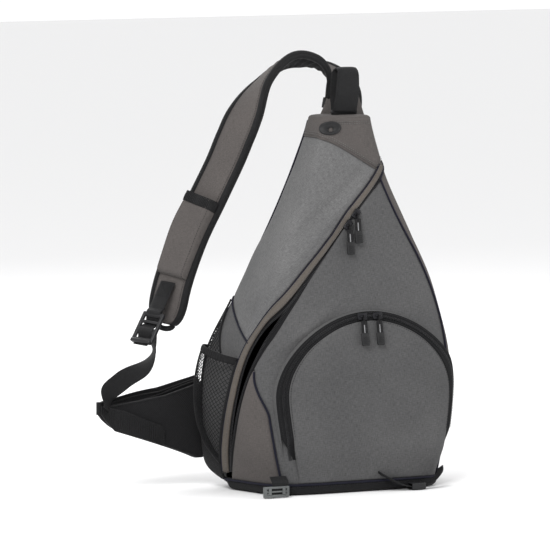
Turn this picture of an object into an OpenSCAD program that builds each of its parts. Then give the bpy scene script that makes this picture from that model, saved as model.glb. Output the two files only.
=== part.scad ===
// Sling bag standing on its base: a tall tapering shell with a diagonal main zip, an arched
// front pocket, a padded shoulder strap and a waist wing joined into one loop on the left.
// Frame: origin at the centre of the base on the floor, +X to the wearer-side right of the
// front view, +Y to the back panel, +Z up.

/* [Body] */
// Height of the bag body
body_h = 482; // [440:1:520]
// Half depth behind the origin at the base
back_depth = 88; // [80:1:96]
// Half depth in front of the origin at the base
front_depth = 82; // [76:1:90]
// Half depth at the top of the yoke
top_depth = 24; // [20:1:28]
// Thickness of a fabric panel
panel_t = 3; // [2:0.5:4]
// Thickness of the foam in the back panel
foam_t = 8; // [5:1:12]

/* [Straps] */
// Width of the padded shoulder strap
strap_w = 58; // [52:1:64]
// Thickness of the strap's foam
strap_foam_t = 8; // [5:1:9]
// Width of the webbing
webbing_w = 25; // [20:1:26]
// Thickness of the webbing
webbing_t = 1.6; // [1.2:0.1:2]
// Width of the grab handle
handle_w = 36; // [28:1:40]

/* [Zips] */
// Width of the binding beside the main zip
binding_w = 11; // [8:1:13]
// Width of one side of a zip tape
// Length of a pull tab
tab_l = 38; // [30:1:44]
// Height of the pocket's gusset above the front panel
pocket_rise = 7; // [5:1:9]

/* [Hidden] */
$fn = 32;
STATION = 60;
FRONT_HALF = [124, 137, 147, 145, 131, 108, 77, 52, 36];
BACK_HALF = [158, 172, 177, 171, 138, 107, 78, 53, 34];
RIGHT_TRIM = [0.93, 0.93, 0.93, 0.945, 0.97, 0.99, 1, 1, 1];
COVER_EDGE_S = [0.38, 0.47, 0.62, 0.79, 1.03, 1.24, 1.54, 2.09, 2.7];
FRONT_EDGE_S = [0.40, 0.55, 0.735, 0.95, 1.09, 1.26, 1.545, 2.10, 2.71];
CORNER = 6;
CORNER_T = pow(0.5, 1 / CORNER);
LEAN = 5;
BASE_RISE = 2;
ZIP_TOP = 345;
ZIP_LOW = 24;
YOKE_Z = 413;
COVER_LOW = 194;
GUSSET_TIP = 160;
LEFT_SEAM = 0.07;
TUCK_Z = 40;
BACK_SEAM = 2.93;
GAP = 0.004;
ZGAP = 0.6;

// ---- curves and surfaces ----
function knot(list, t) =
  let (n = len(list) - 1, k = min(max(t, 0), n - 0.000001), i = floor(k), f = k - i,
    a = list[max(i - 1, 0)], b = list[i], c = list[i + 1], d = list[min(i + 2, n)])
  0.5 * (2 * b + (c - a) * f + (2 * a - 5 * b + 4 * c - d) * f * f
    + (3 * b - a - 3 * c + d) * f * f * f);
function unit(v) = v / norm(v);
function mix(a, b, t) = a + (b - a) * t;
function back_y(z) = mix(back_depth, top_depth, z / body_h);
function front_y(z) = mix(front_depth, top_depth, z / body_h)
  + (z < 320 ? 8 * sin(180 * z / 320) : 0);

// How far the foot of the back is drawn in, so the bag rounds into a smaller base.
function tuck(q, z) = 0.3 * pow(max(0, 1 - z / TUCK_Z), 2.5) * min(1, max(0, (q - 0.2) / 0.6));

// A point of the body's surface: s runs 0..4 around it from the back left corner over the
// left side, the front, the right side and the back.
function surf(s, z) =
  let (side = floor(s) % 4, t = CORNER_T * (2 * (s - floor(s)) - 1),
    o = pow(1 - pow(abs(t), CORNER), 1 / CORNER),
    c = side == 0 ? -o : side == 1 ? t : side == 2 ? o : -t,
    q = side == 0 ? -t : side == 1 ? -o : side == 2 ? t : o,
    f = knot(FRONT_HALF, z / STATION), b = knot(BACK_HALF, z / STATION), k = 1 - tuck(q, z),
    trim = c > 0 ? knot(RIGHT_TRIM, z / STATION) : 1)
  [LEAN * z / body_h + ((f + b) / 2 + (b - f) / 2 * q) * c * k * trim,
    ((back_y(z) - front_y(z)) / 2 + (back_y(z) + front_y(z)) / 2 * q) * k, z];
function outward(s, z) =
  unit(cross(surf(s + 0.01, z) - surf(s - 0.01, z), surf(s, z + 1) - surf(s, z - 1)));
function skin_point(p, d) = surf(p[0], p[1]) + d * outward(p[0], p[1]);
function cover_s(z) = knot(COVER_EDGE_S, z / STATION);
function front_s(z) = max(knot(FRONT_EDGE_S, z / STATION), cover_s(z) + 2 * GAP);
function right_seam(z) = 2.03 - 0.115 * pow(max(z - 206, 0) / 189, 1.6);
function yoke_z(s) = s < 0.8 ? 455 : s < 1.9 ? mix(455, 412, pow((s - 0.8) / 1.1, 1.7))
  : mix(412, 455, (s - 1.9) / 1.1);
function pip_s(z) = z < 100 ? 0.99 : mix(0.99, front_s(z) + 0.02, pow((z - 100) / 60, 2));

// Solid between two grids of points; columns times rows points out of the outer grid.
module slab(outer, inner) {
  rows = len(outer);
  cols = len(outer[0]);
  n = rows * cols;
  function at(k, i, j) = k * n + i * cols + j;
  function quad(a, b, c, d) = [[a, b, c], [a, c, d]];
  polyhedron(
    points = [for (g = [outer, inner]) for (r = g) for (p = r) p],
    faces = concat(
      [for (i = [0:rows - 2]) for (j = [0:cols - 2])
        each quad(at(0, i, j), at(0, i + 1, j), at(0, i + 1, j + 1), at(0, i, j + 1))],
      [for (i = [0:rows - 2]) for (j = [0:cols - 2])
        each quad(at(1, i, j), at(1, i, j + 1), at(1, i + 1, j + 1), at(1, i + 1, j))],
      [for (j = [0:cols - 2])
        each quad(at(0, 0, j), at(0, 0, j + 1), at(1, 0, j + 1), at(1, 0, j))],
      [for (j = [0:cols - 2])
        each quad(at(0, rows - 1, j + 1), at(0, rows - 1, j), at(1, rows - 1, j),
          at(1, rows - 1, j + 1))],
      [for (i = [0:rows - 2])
        each quad(at(0, i + 1, 0), at(0, i, 0), at(1, i, 0), at(1, i + 1, 0))],
      [for (i = [0:rows - 2])
        each quad(at(0, i, cols - 1), at(0, i + 1, cols - 1), at(1, i + 1, cols - 1),
          at(1, i, cols - 1))]));
}

// Panel whose corners are edges of [s, z] points, filled in between, from offset lo to hi.
module skin(left, right, lo, hi, cols = 8) {
  rows = len(left);
  grid = [for (i = [0:rows - 1]) [for (j = [0:cols]) mix(left[i], right[i], j / cols)]];
  slab([for (r = grid) [for (p = r) skin_point(p, hi)]],
    [for (r = grid) [for (p = r) skin_point(p, lo)]]);
}

// Flat band along a route of [point, width direction], between two offsets from its middle.
module ribbon(route, w, lo, hi, shift = 0) {
  n = len(route) - 1;
  function along(i) = unit(route[min(i + 1, n)][0] - route[max(i - 1, 0)][0]);
  function side(i) = unit(route[i][1] - along(i) * (route[i][1] * along(i)));
  function edge(i, k, d) = route[i][0] + side(i) * (shift + k * w / 2)
    + cross(side(i), along(i)) * d;
  slab([for (i = [0:n]) [edge(i, -1, hi), edge(i, 1, hi)]],
    [for (i = [0:n]) [edge(i, -1, lo), edge(i, 1, lo)]]);
}
function steps(a, b, n) = [for (i = [0:n]) mix(a, b, i / n)];

// ---- body panels ----
module cover_panel() {
  rows = 14;
  cols = 12;
  left = [for (z = steps(248, 455 - ZGAP, rows)) [LEFT_SEAM + GAP, z]];
  right = [for (z = steps(COVER_LOW, YOKE_Z - ZGAP - 1, rows)) [cover_s(z) - edge_s(z) - 2 * GAP, z]];
  top_line = [for (j = [0:cols]) mix(left[rows], right[rows], j / cols)];
  grid = [for (i = [0:rows]) [for (j = [0:cols]) mix(left[i], right[i], j / cols)
    + [0, pow(i / rows, 3) * (yoke_z(top_line[j][0]) - ZGAP - top_line[j][1])]]];
  color("#8a8a8a") slab([for (r = grid) [for (p = r) skin_point(p, 0)]],
    [for (r = grid) [for (p = r) skin_point(p, -panel_t)]]);
}
// Width of the binding in s at a height, where the seam runs diagonally or up the side.
function edge_s(z) = binding_w * (z < 170 ? 0.0072 : z < 200 ? 0.0075 : z < 330 ? 0.0056 : 0.0085);
module cover_binding() {
  zs = concat(steps(ZIP_LOW, 340, 22), [355, 370, 385, 400]);
  color("#8a8078") skin([for (z = zs) [cover_s(z) - edge_s(z), z]],
    [for (z = zs) [cover_s(z) - GAP / 2, z]], -panel_t, 1.5, 2);
}
module front_panel() {
  zs = concat(steps(BASE_RISE, GUSSET_TIP, 8), steps(175, 396, 12));
  color("#5f5f5f") skin(
    [for (z = zs) [z <= GUSSET_TIP ? pip_s(z) + GAP : front_s(z) + 2 * GAP, z]],
    [for (z = zs) [right_seam(z) - GAP, z]], -panel_t, 0, 9);
}
module front_gusset_left() {
  zs = steps(BASE_RISE, GUSSET_TIP - 8, 8);
  color("#57504c") skin([for (z = zs) [front_s(z) + 2 * GAP, z]],
    [for (z = zs) [pip_s(z) - GAP, z]], -panel_t, 0, 5);
}
module side_panel_left() {
  color("#5a5856") skin([for (z = steps(BASE_RISE, 246, 12)) [LEFT_SEAM + GAP, z]],
    [for (z = steps(BASE_RISE, COVER_LOW - 3, 12)) [cover_s(z) - edge_s(z) - 2 * GAP, z]],
    -panel_t, 0, 5);
}
module side_panel_right() {
  color("#5f5f5f") skin(
    [for (z = steps(BASE_RISE, 421, 20)) [max(right_seam(z) + GAP, front_s(z) + 2 * GAP), z]],
    [for (t = steps(0, 1, 20)) [BACK_SEAM - GAP, mix(BASE_RISE, 450, t)]], -panel_t, 0, 6);
}
module top_yoke() {
  ss = steps(LEFT_SEAM + GAP, BACK_SEAM - GAP, 34);
  color("#5d5855") union() {
    slab([for (v = steps(0, 1, 3)) [for (s = ss) skin_point([s, mix(yoke_z(s) + 1, body_h - 4, v)], 0)]],
      [for (v = steps(0, 1, 3)) [for (s = ss)
        skin_point([s, mix(yoke_z(s) + 1, body_h - 4, v)], -panel_t)]]);
    translate([0, 0, body_h - 4]) linear_extrude(4)
      polygon([for (s = steps(0, 3.95, 79)) let (p = surf(s, body_h - 4)) [p[0], p[1]]]);
  }
}
module back_skin(lo, hi, low, top) {
  zs = steps(low, top, 12);
  color("#1c1c1e") skin([for (z = zs) [BACK_SEAM + GAP, z]], [for (z = zs) [4 + LEFT_SEAM - GAP, z]],
    lo, hi, 12);
}
module back_panel() { back_skin(-panel_t, 0, BASE_RISE + 1, body_h - 6); }
module back_foam() {
  difference() {
    back_skin(-panel_t - foam_t, -panel_t - 1.2, 46, body_h - 24);
    back_panel();
  }
}
module base_panel() {
  color("#18181a") linear_extrude(BASE_RISE - 0.2)
    polygon([for (s = steps(0, 3.95, 79)) let (p = surf(s, 1)) [p[0], p[1]]]);
}
module base_board() {
  color("#202020") translate([0, 0, BASE_RISE]) linear_extrude(2)
    scale([0.9, 0.86]) polygon([for (s = steps(0, 3.95, 79)) let (p = surf(s, 1)) [p[0], p[1]]]);
}

// ---- main zip ----
module main_zip_tape_upper() {
  zs = steps(ZIP_LOW, ZIP_TOP, 22);
  color("#141416") skin([for (z = zs) [cover_s(z) - 0.03, z]],
    [for (z = zs) [cover_s(z) + 0.004, z]], -panel_t - 3, -panel_t - 1.6, 1);
}
module main_zip_tape_lower() {
  zs = steps(ZIP_LOW, ZIP_TOP - 12, 22);
  color("#141416") skin([for (z = zs) [front_s(z) + 0.012, z]],
    [for (z = zs) [front_s(z) + 0.05, z]], -panel_t - 4.4, -panel_t - 3, 1);
}
// Puts its children at a point of the body, +Z outward and +Y up the surface.
module on_body(s, z, d, turn = 0) {
  n = outward(s, z);
  e = unit(cross([0, 0, 1], n));
  u = cross(n, e);
  p = surf(s, z) + n * d;
  multmatrix([[e[0], u[0], n[0], p[0]], [e[1], u[1], n[1], p[1]], [e[2], u[2], n[2], p[2]]])
    rotate([0, 0, turn]) children();
}
SLIDER_L = 13;
SLIDER_W = 9;
SLIDER_H = 3;
BAIL_X = 3.4;
BAIL_Z = 5.2;
// Slider whose body is turned along the zip, with an upright bail for its pull.
module slider(turn) {
  color("#1a1a1c") union() {
    rotate([0, 0, turn]) translate([-SLIDER_W / 2, -SLIDER_L / 2, 0]) cube([SLIDER_W, SLIDER_L, SLIDER_H]);
    for (x = [-BAIL_X - 1.2, BAIL_X]) translate([x, -1.5, SLIDER_H - 0.5]) cube([1.2, 3, BAIL_Z - SLIDER_H + 1.5]);
    translate([-BAIL_X - 0.5, 0, BAIL_Z]) rotate([0, 90, 0]) cylinder(d = 1.4, h = 2 * BAIL_X + 1);
  }
}
module pull() {
  color("#121214") translate([0, 0, BAIL_Z]) difference() {
    union() {
      translate([-1.8, -10, -1.1]) cube([3.6, 11.6, 2.2]);
      translate([-5.5, -tab_l, -1.2]) cube([11, tab_l - 9, 2.4]);
    }
    translate([-4, 0, 0]) rotate([0, 90, 0]) cylinder(d = 1.6, h = 8);
  }
}
MAIN_UP_Z = 355;
MAIN_LOW_Z = 341;
MAIN_TURN = -38;
ZIP_LIFT = 2.2;
module main_slider_at(z) { on_body(cover_s(z) + 0.02, z, ZIP_LIFT) children(); }
module main_zip_slider_upper() { main_slider_at(MAIN_UP_Z) slider(MAIN_TURN); }
module main_zip_slider_lower() { main_slider_at(MAIN_LOW_Z) slider(MAIN_TURN); }
module main_zip_pull_upper() { main_slider_at(MAIN_UP_Z) pull(); }
module main_zip_pull_lower() { main_slider_at(MAIN_LOW_Z) pull(); }

// ---- front pocket: an arch on the front panel ----
ARCH_Z = 122;
ARCH_LOW = 46;
ARCH_H = 110;
ARCH_S = 0.53;
ARCH_MID = 1.545;
// Arch outline grown by k: angle 0 is the apex, beyond 90 degrees it runs straight down.
function arch(a, k) = abs(a) <= 90
  ? [ARCH_MID + ARCH_S * k * sin(a), ARCH_Z + ARCH_H * k * cos(a)]
  : [ARCH_MID + ARCH_S * k * sign(a), ARCH_Z - (abs(a) - 90)];
ARCH_END = 90 + ARCH_Z - ARCH_LOW;
module arch_band(k0, k1, lo, hi) {
  ts = steps(-ARCH_END, ARCH_END, 40);
  skin([for (t = ts) arch(t, k1)], [for (t = ts) arch(t, k0)], lo, hi, 1);
}
POCKET_LOW = 25;
module pocket_panel() {
  ts = steps(-90 - ARCH_Z + POCKET_LOW, 0, 22);
  color("#606060") skin([for (t = ts) arch(t, 0.86)], [for (t = ts) arch(-t, 0.86)],
    pocket_rise - 2, pocket_rise, 10);
}
module pocket_gusset() { color("#4a4a4a") arch_band(0.96, 1, 0.5, pocket_rise - 2.5); }
module pocket_zip_tape() { color("#141416") arch_band(0.875, 0.99, pocket_rise - 2, pocket_rise - 0.5); }
POCKET_SLIDER_A = 5.6;
module pocket_slider_at(a) {
  p = arch(a, 0.93);
  on_body(p[0], p[1], pocket_rise + 0.4) children();
}
module pocket_zip_slider_left() { pocket_slider_at(-POCKET_SLIDER_A) slider(90); }
module pocket_zip_slider_right() { pocket_slider_at(POCKET_SLIDER_A) slider(90); }
module pocket_pull_left() { pocket_slider_at(-POCKET_SLIDER_A) pull(); }
module pocket_pull_right() { pocket_slider_at(POCKET_SLIDER_A) pull(); }

// ---- yoke fittings ----
PORT_S = 1.12;
PORT_Z = 466;
module earphone_port() {
  color("#0c0c0d") on_body(PORT_S, PORT_Z, 0.4) difference() {
    hull() for (x = [-6, 6]) translate([x, 0, 0]) cylinder(r = 8.5, h = 2.2);
    translate([0, -2, -1]) cylinder(r = 3, h = 4);
  }
}
HANDLE_TOP = 542;
HANDLE_X = 6;
HANDLE_Y = -11;
HANDLE_R = 8;
HANDLE_ROOT = 3.4;
module grab_handle() {
  top = HANDLE_TOP - HANDLE_R;
  foot = body_h + 0.4 + HANDLE_ROOT;
  function leg(z) = mix(HANDLE_ROOT - webbing_t, HANDLE_R, min(1, (z - foot) / 24));
  route = concat([for (z = steps(foot, top, 9)) [[HANDLE_X, HANDLE_Y - leg(z), z], [1, 0, 0]]],
    [for (a = steps(15, 165, 8)) [[HANDLE_X, HANDLE_Y - HANDLE_R * cos(a), top + HANDLE_R * sin(a)], [1, 0, 0]]],
    [for (z = steps(top, foot, 9)) [[HANDLE_X, HANDLE_Y + leg(z), z], [1, 0, 0]]]);
  color("#1b1b1d") union() {
    ribbon(route, handle_w, -webbing_t, webbing_t);
    translate([HANDLE_X, HANDLE_Y, foot]) rotate([0, 90, 0])
      cylinder(r = HANDLE_ROOT, h = handle_w - 0.2, center = true, $fn = 36);
  }
}

// ---- shoulder strap: points on its middle with the direction across it ----
STRAP = [
  [[28, 34, 487], [1, 0.1, 0]], [[29, 36, 509], [1, 0.25, 0]], [[13, 41, 534], [0.75, 0.65, -0.1]],
  [[-15, 44, 549], [0.4, 0.9, -0.25]], [[-48, 46, 549], [0.2, 0.94, -0.3]],
  [[-79, 50, 523], [0.1, 0.97, -0.2]], [[-102, 56, 482], [-0.33, 0.94, 0]],
  [[-115, 60, 452], [-0.4, 0.92, 0]], [[-129, 64, 418], [-0.4, 0.92, 0]],
  [[-152, 68, 372], [-0.42, 0.9, 0]], [[-177, 72, 322], [-0.42, 0.9, 0]],
  [[-198, 75, 265], [-0.42, 0.9, 0]], [[-209, 77, 213], [-0.42, 0.9, 0]]
];
function strap_at(t) = [knot([for (p = STRAP) p[0]], t), knot([for (p = STRAP) p[1]], t)];
function strap_part(a, b, n) = [for (t = steps(a, b, n)) strap_at(t)];
module strap_outer() {
  color("#6b6664") ribbon(strap_part(0, 12, 30), strap_w - 4, strap_foam_t / 2 + 0.9, strap_foam_t / 2 + 1.6);
}
module strap_foam() {
  color("#303030") ribbon(strap_part(0.05, 11.9, 30), strap_w - 5, -strap_foam_t / 2, strap_foam_t / 2);
}
module strap_lining() {
  color("#17171a") ribbon(strap_part(0, 12, 30), strap_w - 4, -strap_foam_t / 2 - 2, -strap_foam_t / 2 - 1.2);
}
module strap_binding() {
  color("#121214") for (k = [-1, 1])
    ribbon(strap_part(0, 12, 30), 1.8, -strap_foam_t / 2 - 1.4, strap_foam_t / 2 + 1.4,
      k * (strap_w / 2 - 0.9));
}
POCKET_FROM = 9;
POCKET_TO = 10.9;
module strap_pocket() {
  t = strap_foam_t / 2;
  route = strap_part(POCKET_FROM + 0.3, POCKET_TO, 8);
  color("#5c5c5c") union() {
    ribbon(route, strap_w - 8, t + 12, t + 13.2);
    for (k = [-1, 1]) ribbon(route, 1.4, t + 1.7, t + 12.6, k * (strap_w / 2 - 4.7));
    ribbon(strap_part(POCKET_TO - 0.04, POCKET_TO, 1), strap_w - 8, t + 1.7, t + 13.2);
  }
}
module strap_pocket_trim() {
  t = strap_foam_t / 2;
  color("#101012") ribbon(strap_part(POCKET_FROM, POCKET_FROM + 0.28, 2), strap_w - 8, t + 12, t + 13.6);
}
LOCK = [-239, 64, 211];
LOCK_UP = unit([34, 9, 55]);
LOCK_ACROSS = [0.4, -0.92, 0];
// The ladder lock's own axes: across the webbing, into the strap, and up along the webbing.
module lock_frame() {
  e = unit(LOCK_ACROSS - LOCK_UP * (LOCK_ACROSS * LOCK_UP));
  n = cross(LOCK_UP, e);
  multmatrix([for (i = [0:2]) [e[i], n[i], LOCK_UP[i], LOCK[i]]]) children();
}
module strap_anchor_webbing() {
  color("#1d1d1f") lock_frame() translate([-webbing_w / 2, -1.4, 22])
    cube([webbing_w, webbing_t, 42]);
}
module ladder_lock() {
  color("#141415") lock_frame() difference() {
    translate([-18, -2.5, -22]) cube([36, 5, 43]);
    for (z = [-16, -2, 9]) translate([-webbing_w / 2 - 1, -4, z]) cube([webbing_w + 2, 8, 7]);
  }
}
ADJUSTER = [
  [[-229, 72, 193], [0.35, 0.93, 0]], [[-226, 73, 176], [0.3, 0.95, 0.1]],
  [[-243, 75, 156], [0, 0.75, 0.65]], [[-272, 75, 142], [-0.2, 0.4, 0.9]],
  [[-295, 69, 131], [-0.3, 0.1, 0.95]], [[-299, 57, 116], [-0.2, 0, 1]]
];
module adjuster_webbing() {
  route = [for (t = steps(0, 5, 14))
    [knot([for (p = ADJUSTER) p[0]], t), knot([for (p = ADJUSTER) p[1]], t)]];
  color("#1d1d1f") ribbon(route, webbing_w, -webbing_t / 2, webbing_t / 2);
}

// ---- waist wing: layers in upright planes, back to front ----
WING_X = -166;
WING_TIP = -308;
function wing_low(x) = mix(38, 78, pow((WING_X - x) / 114, 0.9));
WING_RIM = 2;
module wing_plane(y, t) { translate([0, y + t, 0]) rotate([90, 0, 0]) linear_extrude(t) children(); }
module wing_layer(y, t, top_in, top_out, tip, lift = 0) {
  xs = steps(WING_X, -280, 8);
  wing_plane(y, t)
    polygon(concat([for (x = xs) [x, wing_low(x) + lift]], [[tip, top_out - 22 + lift],
      [tip, top_out - 10], [tip + 8, top_out], [-232, (top_in + top_out) / 2], [WING_X, top_in]]));
}
module wing_back() { color("#161618") wing_layer(88, 4, 142, 123, WING_TIP); }
module wing_divider_rear() { color("#1e1e20") wing_layer(84, 1.5, 136, 118, WING_TIP + 6, WING_RIM + 1); }
module wing_divider_front() { color("#1e1e20") wing_layer(80, 1.5, 132, 115, WING_TIP + 6, WING_RIM + 1); }
module wing_pouch() {
  xs = steps(WING_X, -280, 8);
  color("#1a1a1c") union() {
    wing_layer(64, 2, 130, 109, WING_TIP);
    wing_plane(65.5, 22.2) polygon(concat([for (x = xs) [x, wing_low(x)]],
      [for (i = [8:-1:0]) [xs[i], wing_low(xs[i]) + WING_RIM]]));
  }
}
module wing_band() {
  color("#0f0f10") translate([0, 63.5, 0]) rotate([90, 0, 0]) linear_extrude(3)
    polygon([[-304, 108], [-274, 104], [-243, 91], [-222, 82.5], [-217, 77], [-219, 57], [-243, 66], [-287, 79]]);
}

// ---- mesh bottle pocket on the left side ----
MESH_OUT = 26;
function mesh_front(z) = cover_s(z) - edge_s(z) - 0.02;
function mesh_bulge(u, v) = 1.2 + MESH_OUT * sin(180 * u) * pow(sin(90 * min(1, v * 1.6 + 0.05)), 0.7);
module mesh_wall(v0, v1, n, t) {
  g = [for (v = steps(v0, v1, n)) [for (u = steps(0.0, 1, 10)) [u, v]]];
  function spot(u, v, d) =
    skin_point([mix(0.11, mesh_front(mix(36, 174, v)), u), mix(mix(84, 36, u), mix(186, 174, u), v)],
      mesh_bulge(u, v) + d);
  slab([for (r = g) [for (p = r) spot(p[0], p[1], t)]], [for (r = g) [for (p = r) spot(p[0], p[1], 0)]]);
}
module mesh_pocket() { color("#222226") mesh_wall(0, 0.95, 10, 1.2); }
module mesh_pocket_band() { color("#101012") mesh_wall(0.955, 1, 2, 1.8); }

// ---- lash loops at the foot of the front ----
LASH_Y = -88;
module lash_webbing_left() {
  color("#1d1d1f") translate([-140, LASH_Y, 14.9]) cube([webbing_w, webbing_t, 10]);
}
module lash_buckle_left() {
  color("#161617") translate([-151, LASH_Y - 2, 0.6]) difference() {
    cube([36, 5, 14]);
    translate([4, -1, 3.5]) cube([28, 7, 3]);
    translate([4, -1, 8.5]) cube([28, 7, 3]);
  }
}
LASH_RIGHT_Y = -91.5;
LASH_RIGHT_W = 11;
module lash_webbing_right() {
  route = [for (p = [[24, 20], [44, 9], [60, 4], [78, 3], [94, 10], [106, 21]])
    [[p[0], LASH_RIGHT_Y, p[1]], [0, 1, 0]]];
  color("#1d1d1f") ribbon(route, LASH_RIGHT_W, -webbing_t, 0);
}
module lash_slider_right() {
  color("#161617") translate([60, LASH_RIGHT_Y - 8, 0.4]) difference() {
    cube([20, 16, 8.4]);
    translate([-1, 1.6, 0.9]) cube([22, 12.8, 6.6]);
  }
}

cover_panel();
cover_binding();
front_panel();
front_gusset_left();
side_panel_left();
side_panel_right();
top_yoke();
back_panel();
back_foam();
base_panel();
base_board();
main_zip_tape_upper();
main_zip_tape_lower();
main_zip_slider_upper();
main_zip_slider_lower();
main_zip_pull_upper();
main_zip_pull_lower();
pocket_panel();
pocket_gusset();
pocket_zip_tape();
pocket_zip_slider_left();
pocket_zip_slider_right();
pocket_pull_left();
pocket_pull_right();
earphone_port();
grab_handle();
strap_outer();
strap_foam();
strap_lining();
strap_binding();
strap_pocket();
strap_pocket_trim();
strap_anchor_webbing();
ladder_lock();
adjuster_webbing();
wing_back();
wing_divider_front();
wing_divider_rear();
wing_pouch();
wing_band();
mesh_pocket();
mesh_pocket_band();
lash_webbing_left();
lash_buckle_left();
lash_webbing_right();
lash_slider_right();
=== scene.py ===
import math

import bmesh
import bpy
import numpy as np
from mathutils import Matrix, Vector


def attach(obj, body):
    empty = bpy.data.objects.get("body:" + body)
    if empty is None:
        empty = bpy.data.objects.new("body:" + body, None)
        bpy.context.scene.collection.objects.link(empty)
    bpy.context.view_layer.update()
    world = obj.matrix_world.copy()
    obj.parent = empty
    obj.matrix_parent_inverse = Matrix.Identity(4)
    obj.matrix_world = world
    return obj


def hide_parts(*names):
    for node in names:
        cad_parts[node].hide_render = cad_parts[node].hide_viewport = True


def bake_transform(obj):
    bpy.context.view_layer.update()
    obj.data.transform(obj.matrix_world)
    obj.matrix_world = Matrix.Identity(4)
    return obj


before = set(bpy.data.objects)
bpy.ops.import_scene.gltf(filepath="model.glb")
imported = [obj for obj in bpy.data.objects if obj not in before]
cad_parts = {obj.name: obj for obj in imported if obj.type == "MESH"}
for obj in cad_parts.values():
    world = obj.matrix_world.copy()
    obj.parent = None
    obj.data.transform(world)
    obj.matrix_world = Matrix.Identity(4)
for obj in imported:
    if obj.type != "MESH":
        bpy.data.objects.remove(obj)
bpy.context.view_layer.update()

MM = 0.001

# ---- the body's surface, as in the CAD: s runs 0..4 round the body, z is the height in mm ----
STATION = 60.0
FRONT_HALF = [124, 137, 147, 145, 131, 108, 77, 52, 36]
BACK_HALF = [158, 172, 177, 171, 138, 107, 78, 53, 34]
COVER_EDGE_S = [0.38, 0.47, 0.62, 0.79, 1.03, 1.24, 1.54, 2.09, 2.7]
FRONT_EDGE_S = [0.40, 0.55, 0.735, 0.95, 1.09, 1.26, 1.545, 2.10, 2.71]
BODY_H = 482.0
BACK_DEPTH, FRONT_DEPTH, TOP_DEPTH = 88.0, 82.0, 24.0
LEAN = 5.0
CORNER = 6.0
RIGHT_TRIM = [0.93, 0.93, 0.93, 0.945, 0.97, 0.99, 1, 1, 1]
TUCK_Z = 40.0
CORNER_T = 0.5 ** (1 / CORNER)
LEFT_SEAM, BACK_SEAM = 0.07, 2.93
YOKE_Z, COVER_LOW, GUSSET_TIP = 413.0, 194.0, 160.0
BASE_TOP = 13.0
PANEL_T = 3.0
BINDING_W = 11.0


def knot(points, t):
    """Catmull-Rom through equally spaced points, for an array of t."""
    p = np.asarray(points, float)
    n = len(p) - 1
    k = np.clip(np.asarray(t, float), 0, n - 1e-6)
    i = np.floor(k).astype(int)
    f = k - i
    if p.ndim > 1:
        f = f[..., None]
    a, b = p[np.maximum(i - 1, 0)], p[i]
    c, d = p[i + 1], p[np.minimum(i + 2, n)]
    return 0.5 * (2 * b + (c - a) * f + (2 * a - 5 * b + 4 * c - d) * f**2
                  + (3 * b - a - 3 * c + d) * f**3)


def surf(s, z):
    s, z = np.broadcast_arrays(np.asarray(s, float), np.asarray(z, float))
    side = np.floor(s).astype(int) % 4
    t = CORNER_T * (2 * (s - np.floor(s)) - 1)
    o = (1 - np.abs(t) ** CORNER) ** (1 / CORNER)
    c = np.choose(side, [-o, t, o, -t])
    q = np.choose(side, [-t, -o, t, o])
    f, b = knot(FRONT_HALF, z / STATION), knot(BACK_HALF, z / STATION)
    back = BACK_DEPTH + (TOP_DEPTH - BACK_DEPTH) * z / BODY_H
    front = (FRONT_DEPTH + (TOP_DEPTH - FRONT_DEPTH) * z / BODY_H
             + np.where(z < 320, 8 * np.sin(math.pi * z / 320), 0))
    k = 1 - 0.3 * np.maximum(0, 1 - z / TUCK_Z) ** 2.5 * np.clip((q - 0.2) / 0.6, 0, 1)
    trim = np.where(c > 0, knot(RIGHT_TRIM, z / STATION), 1)
    x = LEAN * z / BODY_H + ((f + b) / 2 + (b - f) / 2 * q) * c * k * trim
    y = ((back - front) / 2 + (back + front) / 2 * q) * k
    return np.stack([x, y, z + 0 * x], -1)


def unit(v):
    return v / np.maximum(np.linalg.norm(v, axis=-1, keepdims=True), 1e-9)


def outward(s, z):
    return unit(np.cross(surf(s + 0.01, z) - surf(s - 0.01, z), surf(s, z + 1) - surf(s, z - 1)))


def on_skin(s, z, d=0.0):
    """Points on the surface, raised by d along its normal."""
    return surf(s, z) + outward(s, z) * np.asarray(d, float)[..., None]


def seam(s, z):
    """A line on the surface, as rows of s and z."""
    return np.stack(np.broadcast_arrays(np.asarray(s, float), np.asarray(z, float)), -1)


def smooth(t):
    """0 to 1 with a soft start and end."""
    t = np.clip(t, 0, 1)
    return t * t * (3 - 2 * t)


def cover_s(z):
    return knot(COVER_EDGE_S, np.asarray(z) / STATION)


def front_s(z):
    return np.maximum(knot(FRONT_EDGE_S, np.asarray(z) / STATION), cover_s(z) + 0.008)


def binding_s(z):
    """Width of the binding in s."""
    per_mm = [0.0072, 0.0075, 0.0056, 0.0056, 0.0085, 0.0095]
    return BINDING_W * np.interp(z, [160, 190, 215, 330, 360, 410], per_mm)


def yoke_z(s):
    s = np.asarray(s, float)
    near = 455 - 43 * np.clip((s - 0.8) / 1.1, 0, 1) ** 1.7
    return np.where(s < 0.8, 455, np.where(s < 1.9, near, 412 + 43 * (s - 1.9) / 1.1))


def right_seam(z):
    """Seam between the front and the right side, and above the front panel's point its flap."""
    z = np.asarray(z, float)
    return np.maximum(2.03 - 0.115 * (np.maximum(z - 206, 0) / 189) ** 1.6, front_s(z) + 0.008)


def pip_s(z):
    z = np.asarray(z, float)
    return np.where(z < 100, 0.99, 0.99 + (front_s(z) + 0.02 - 0.99) * (np.clip(z - 100, 0, 60) / 60) ** 2)


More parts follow.
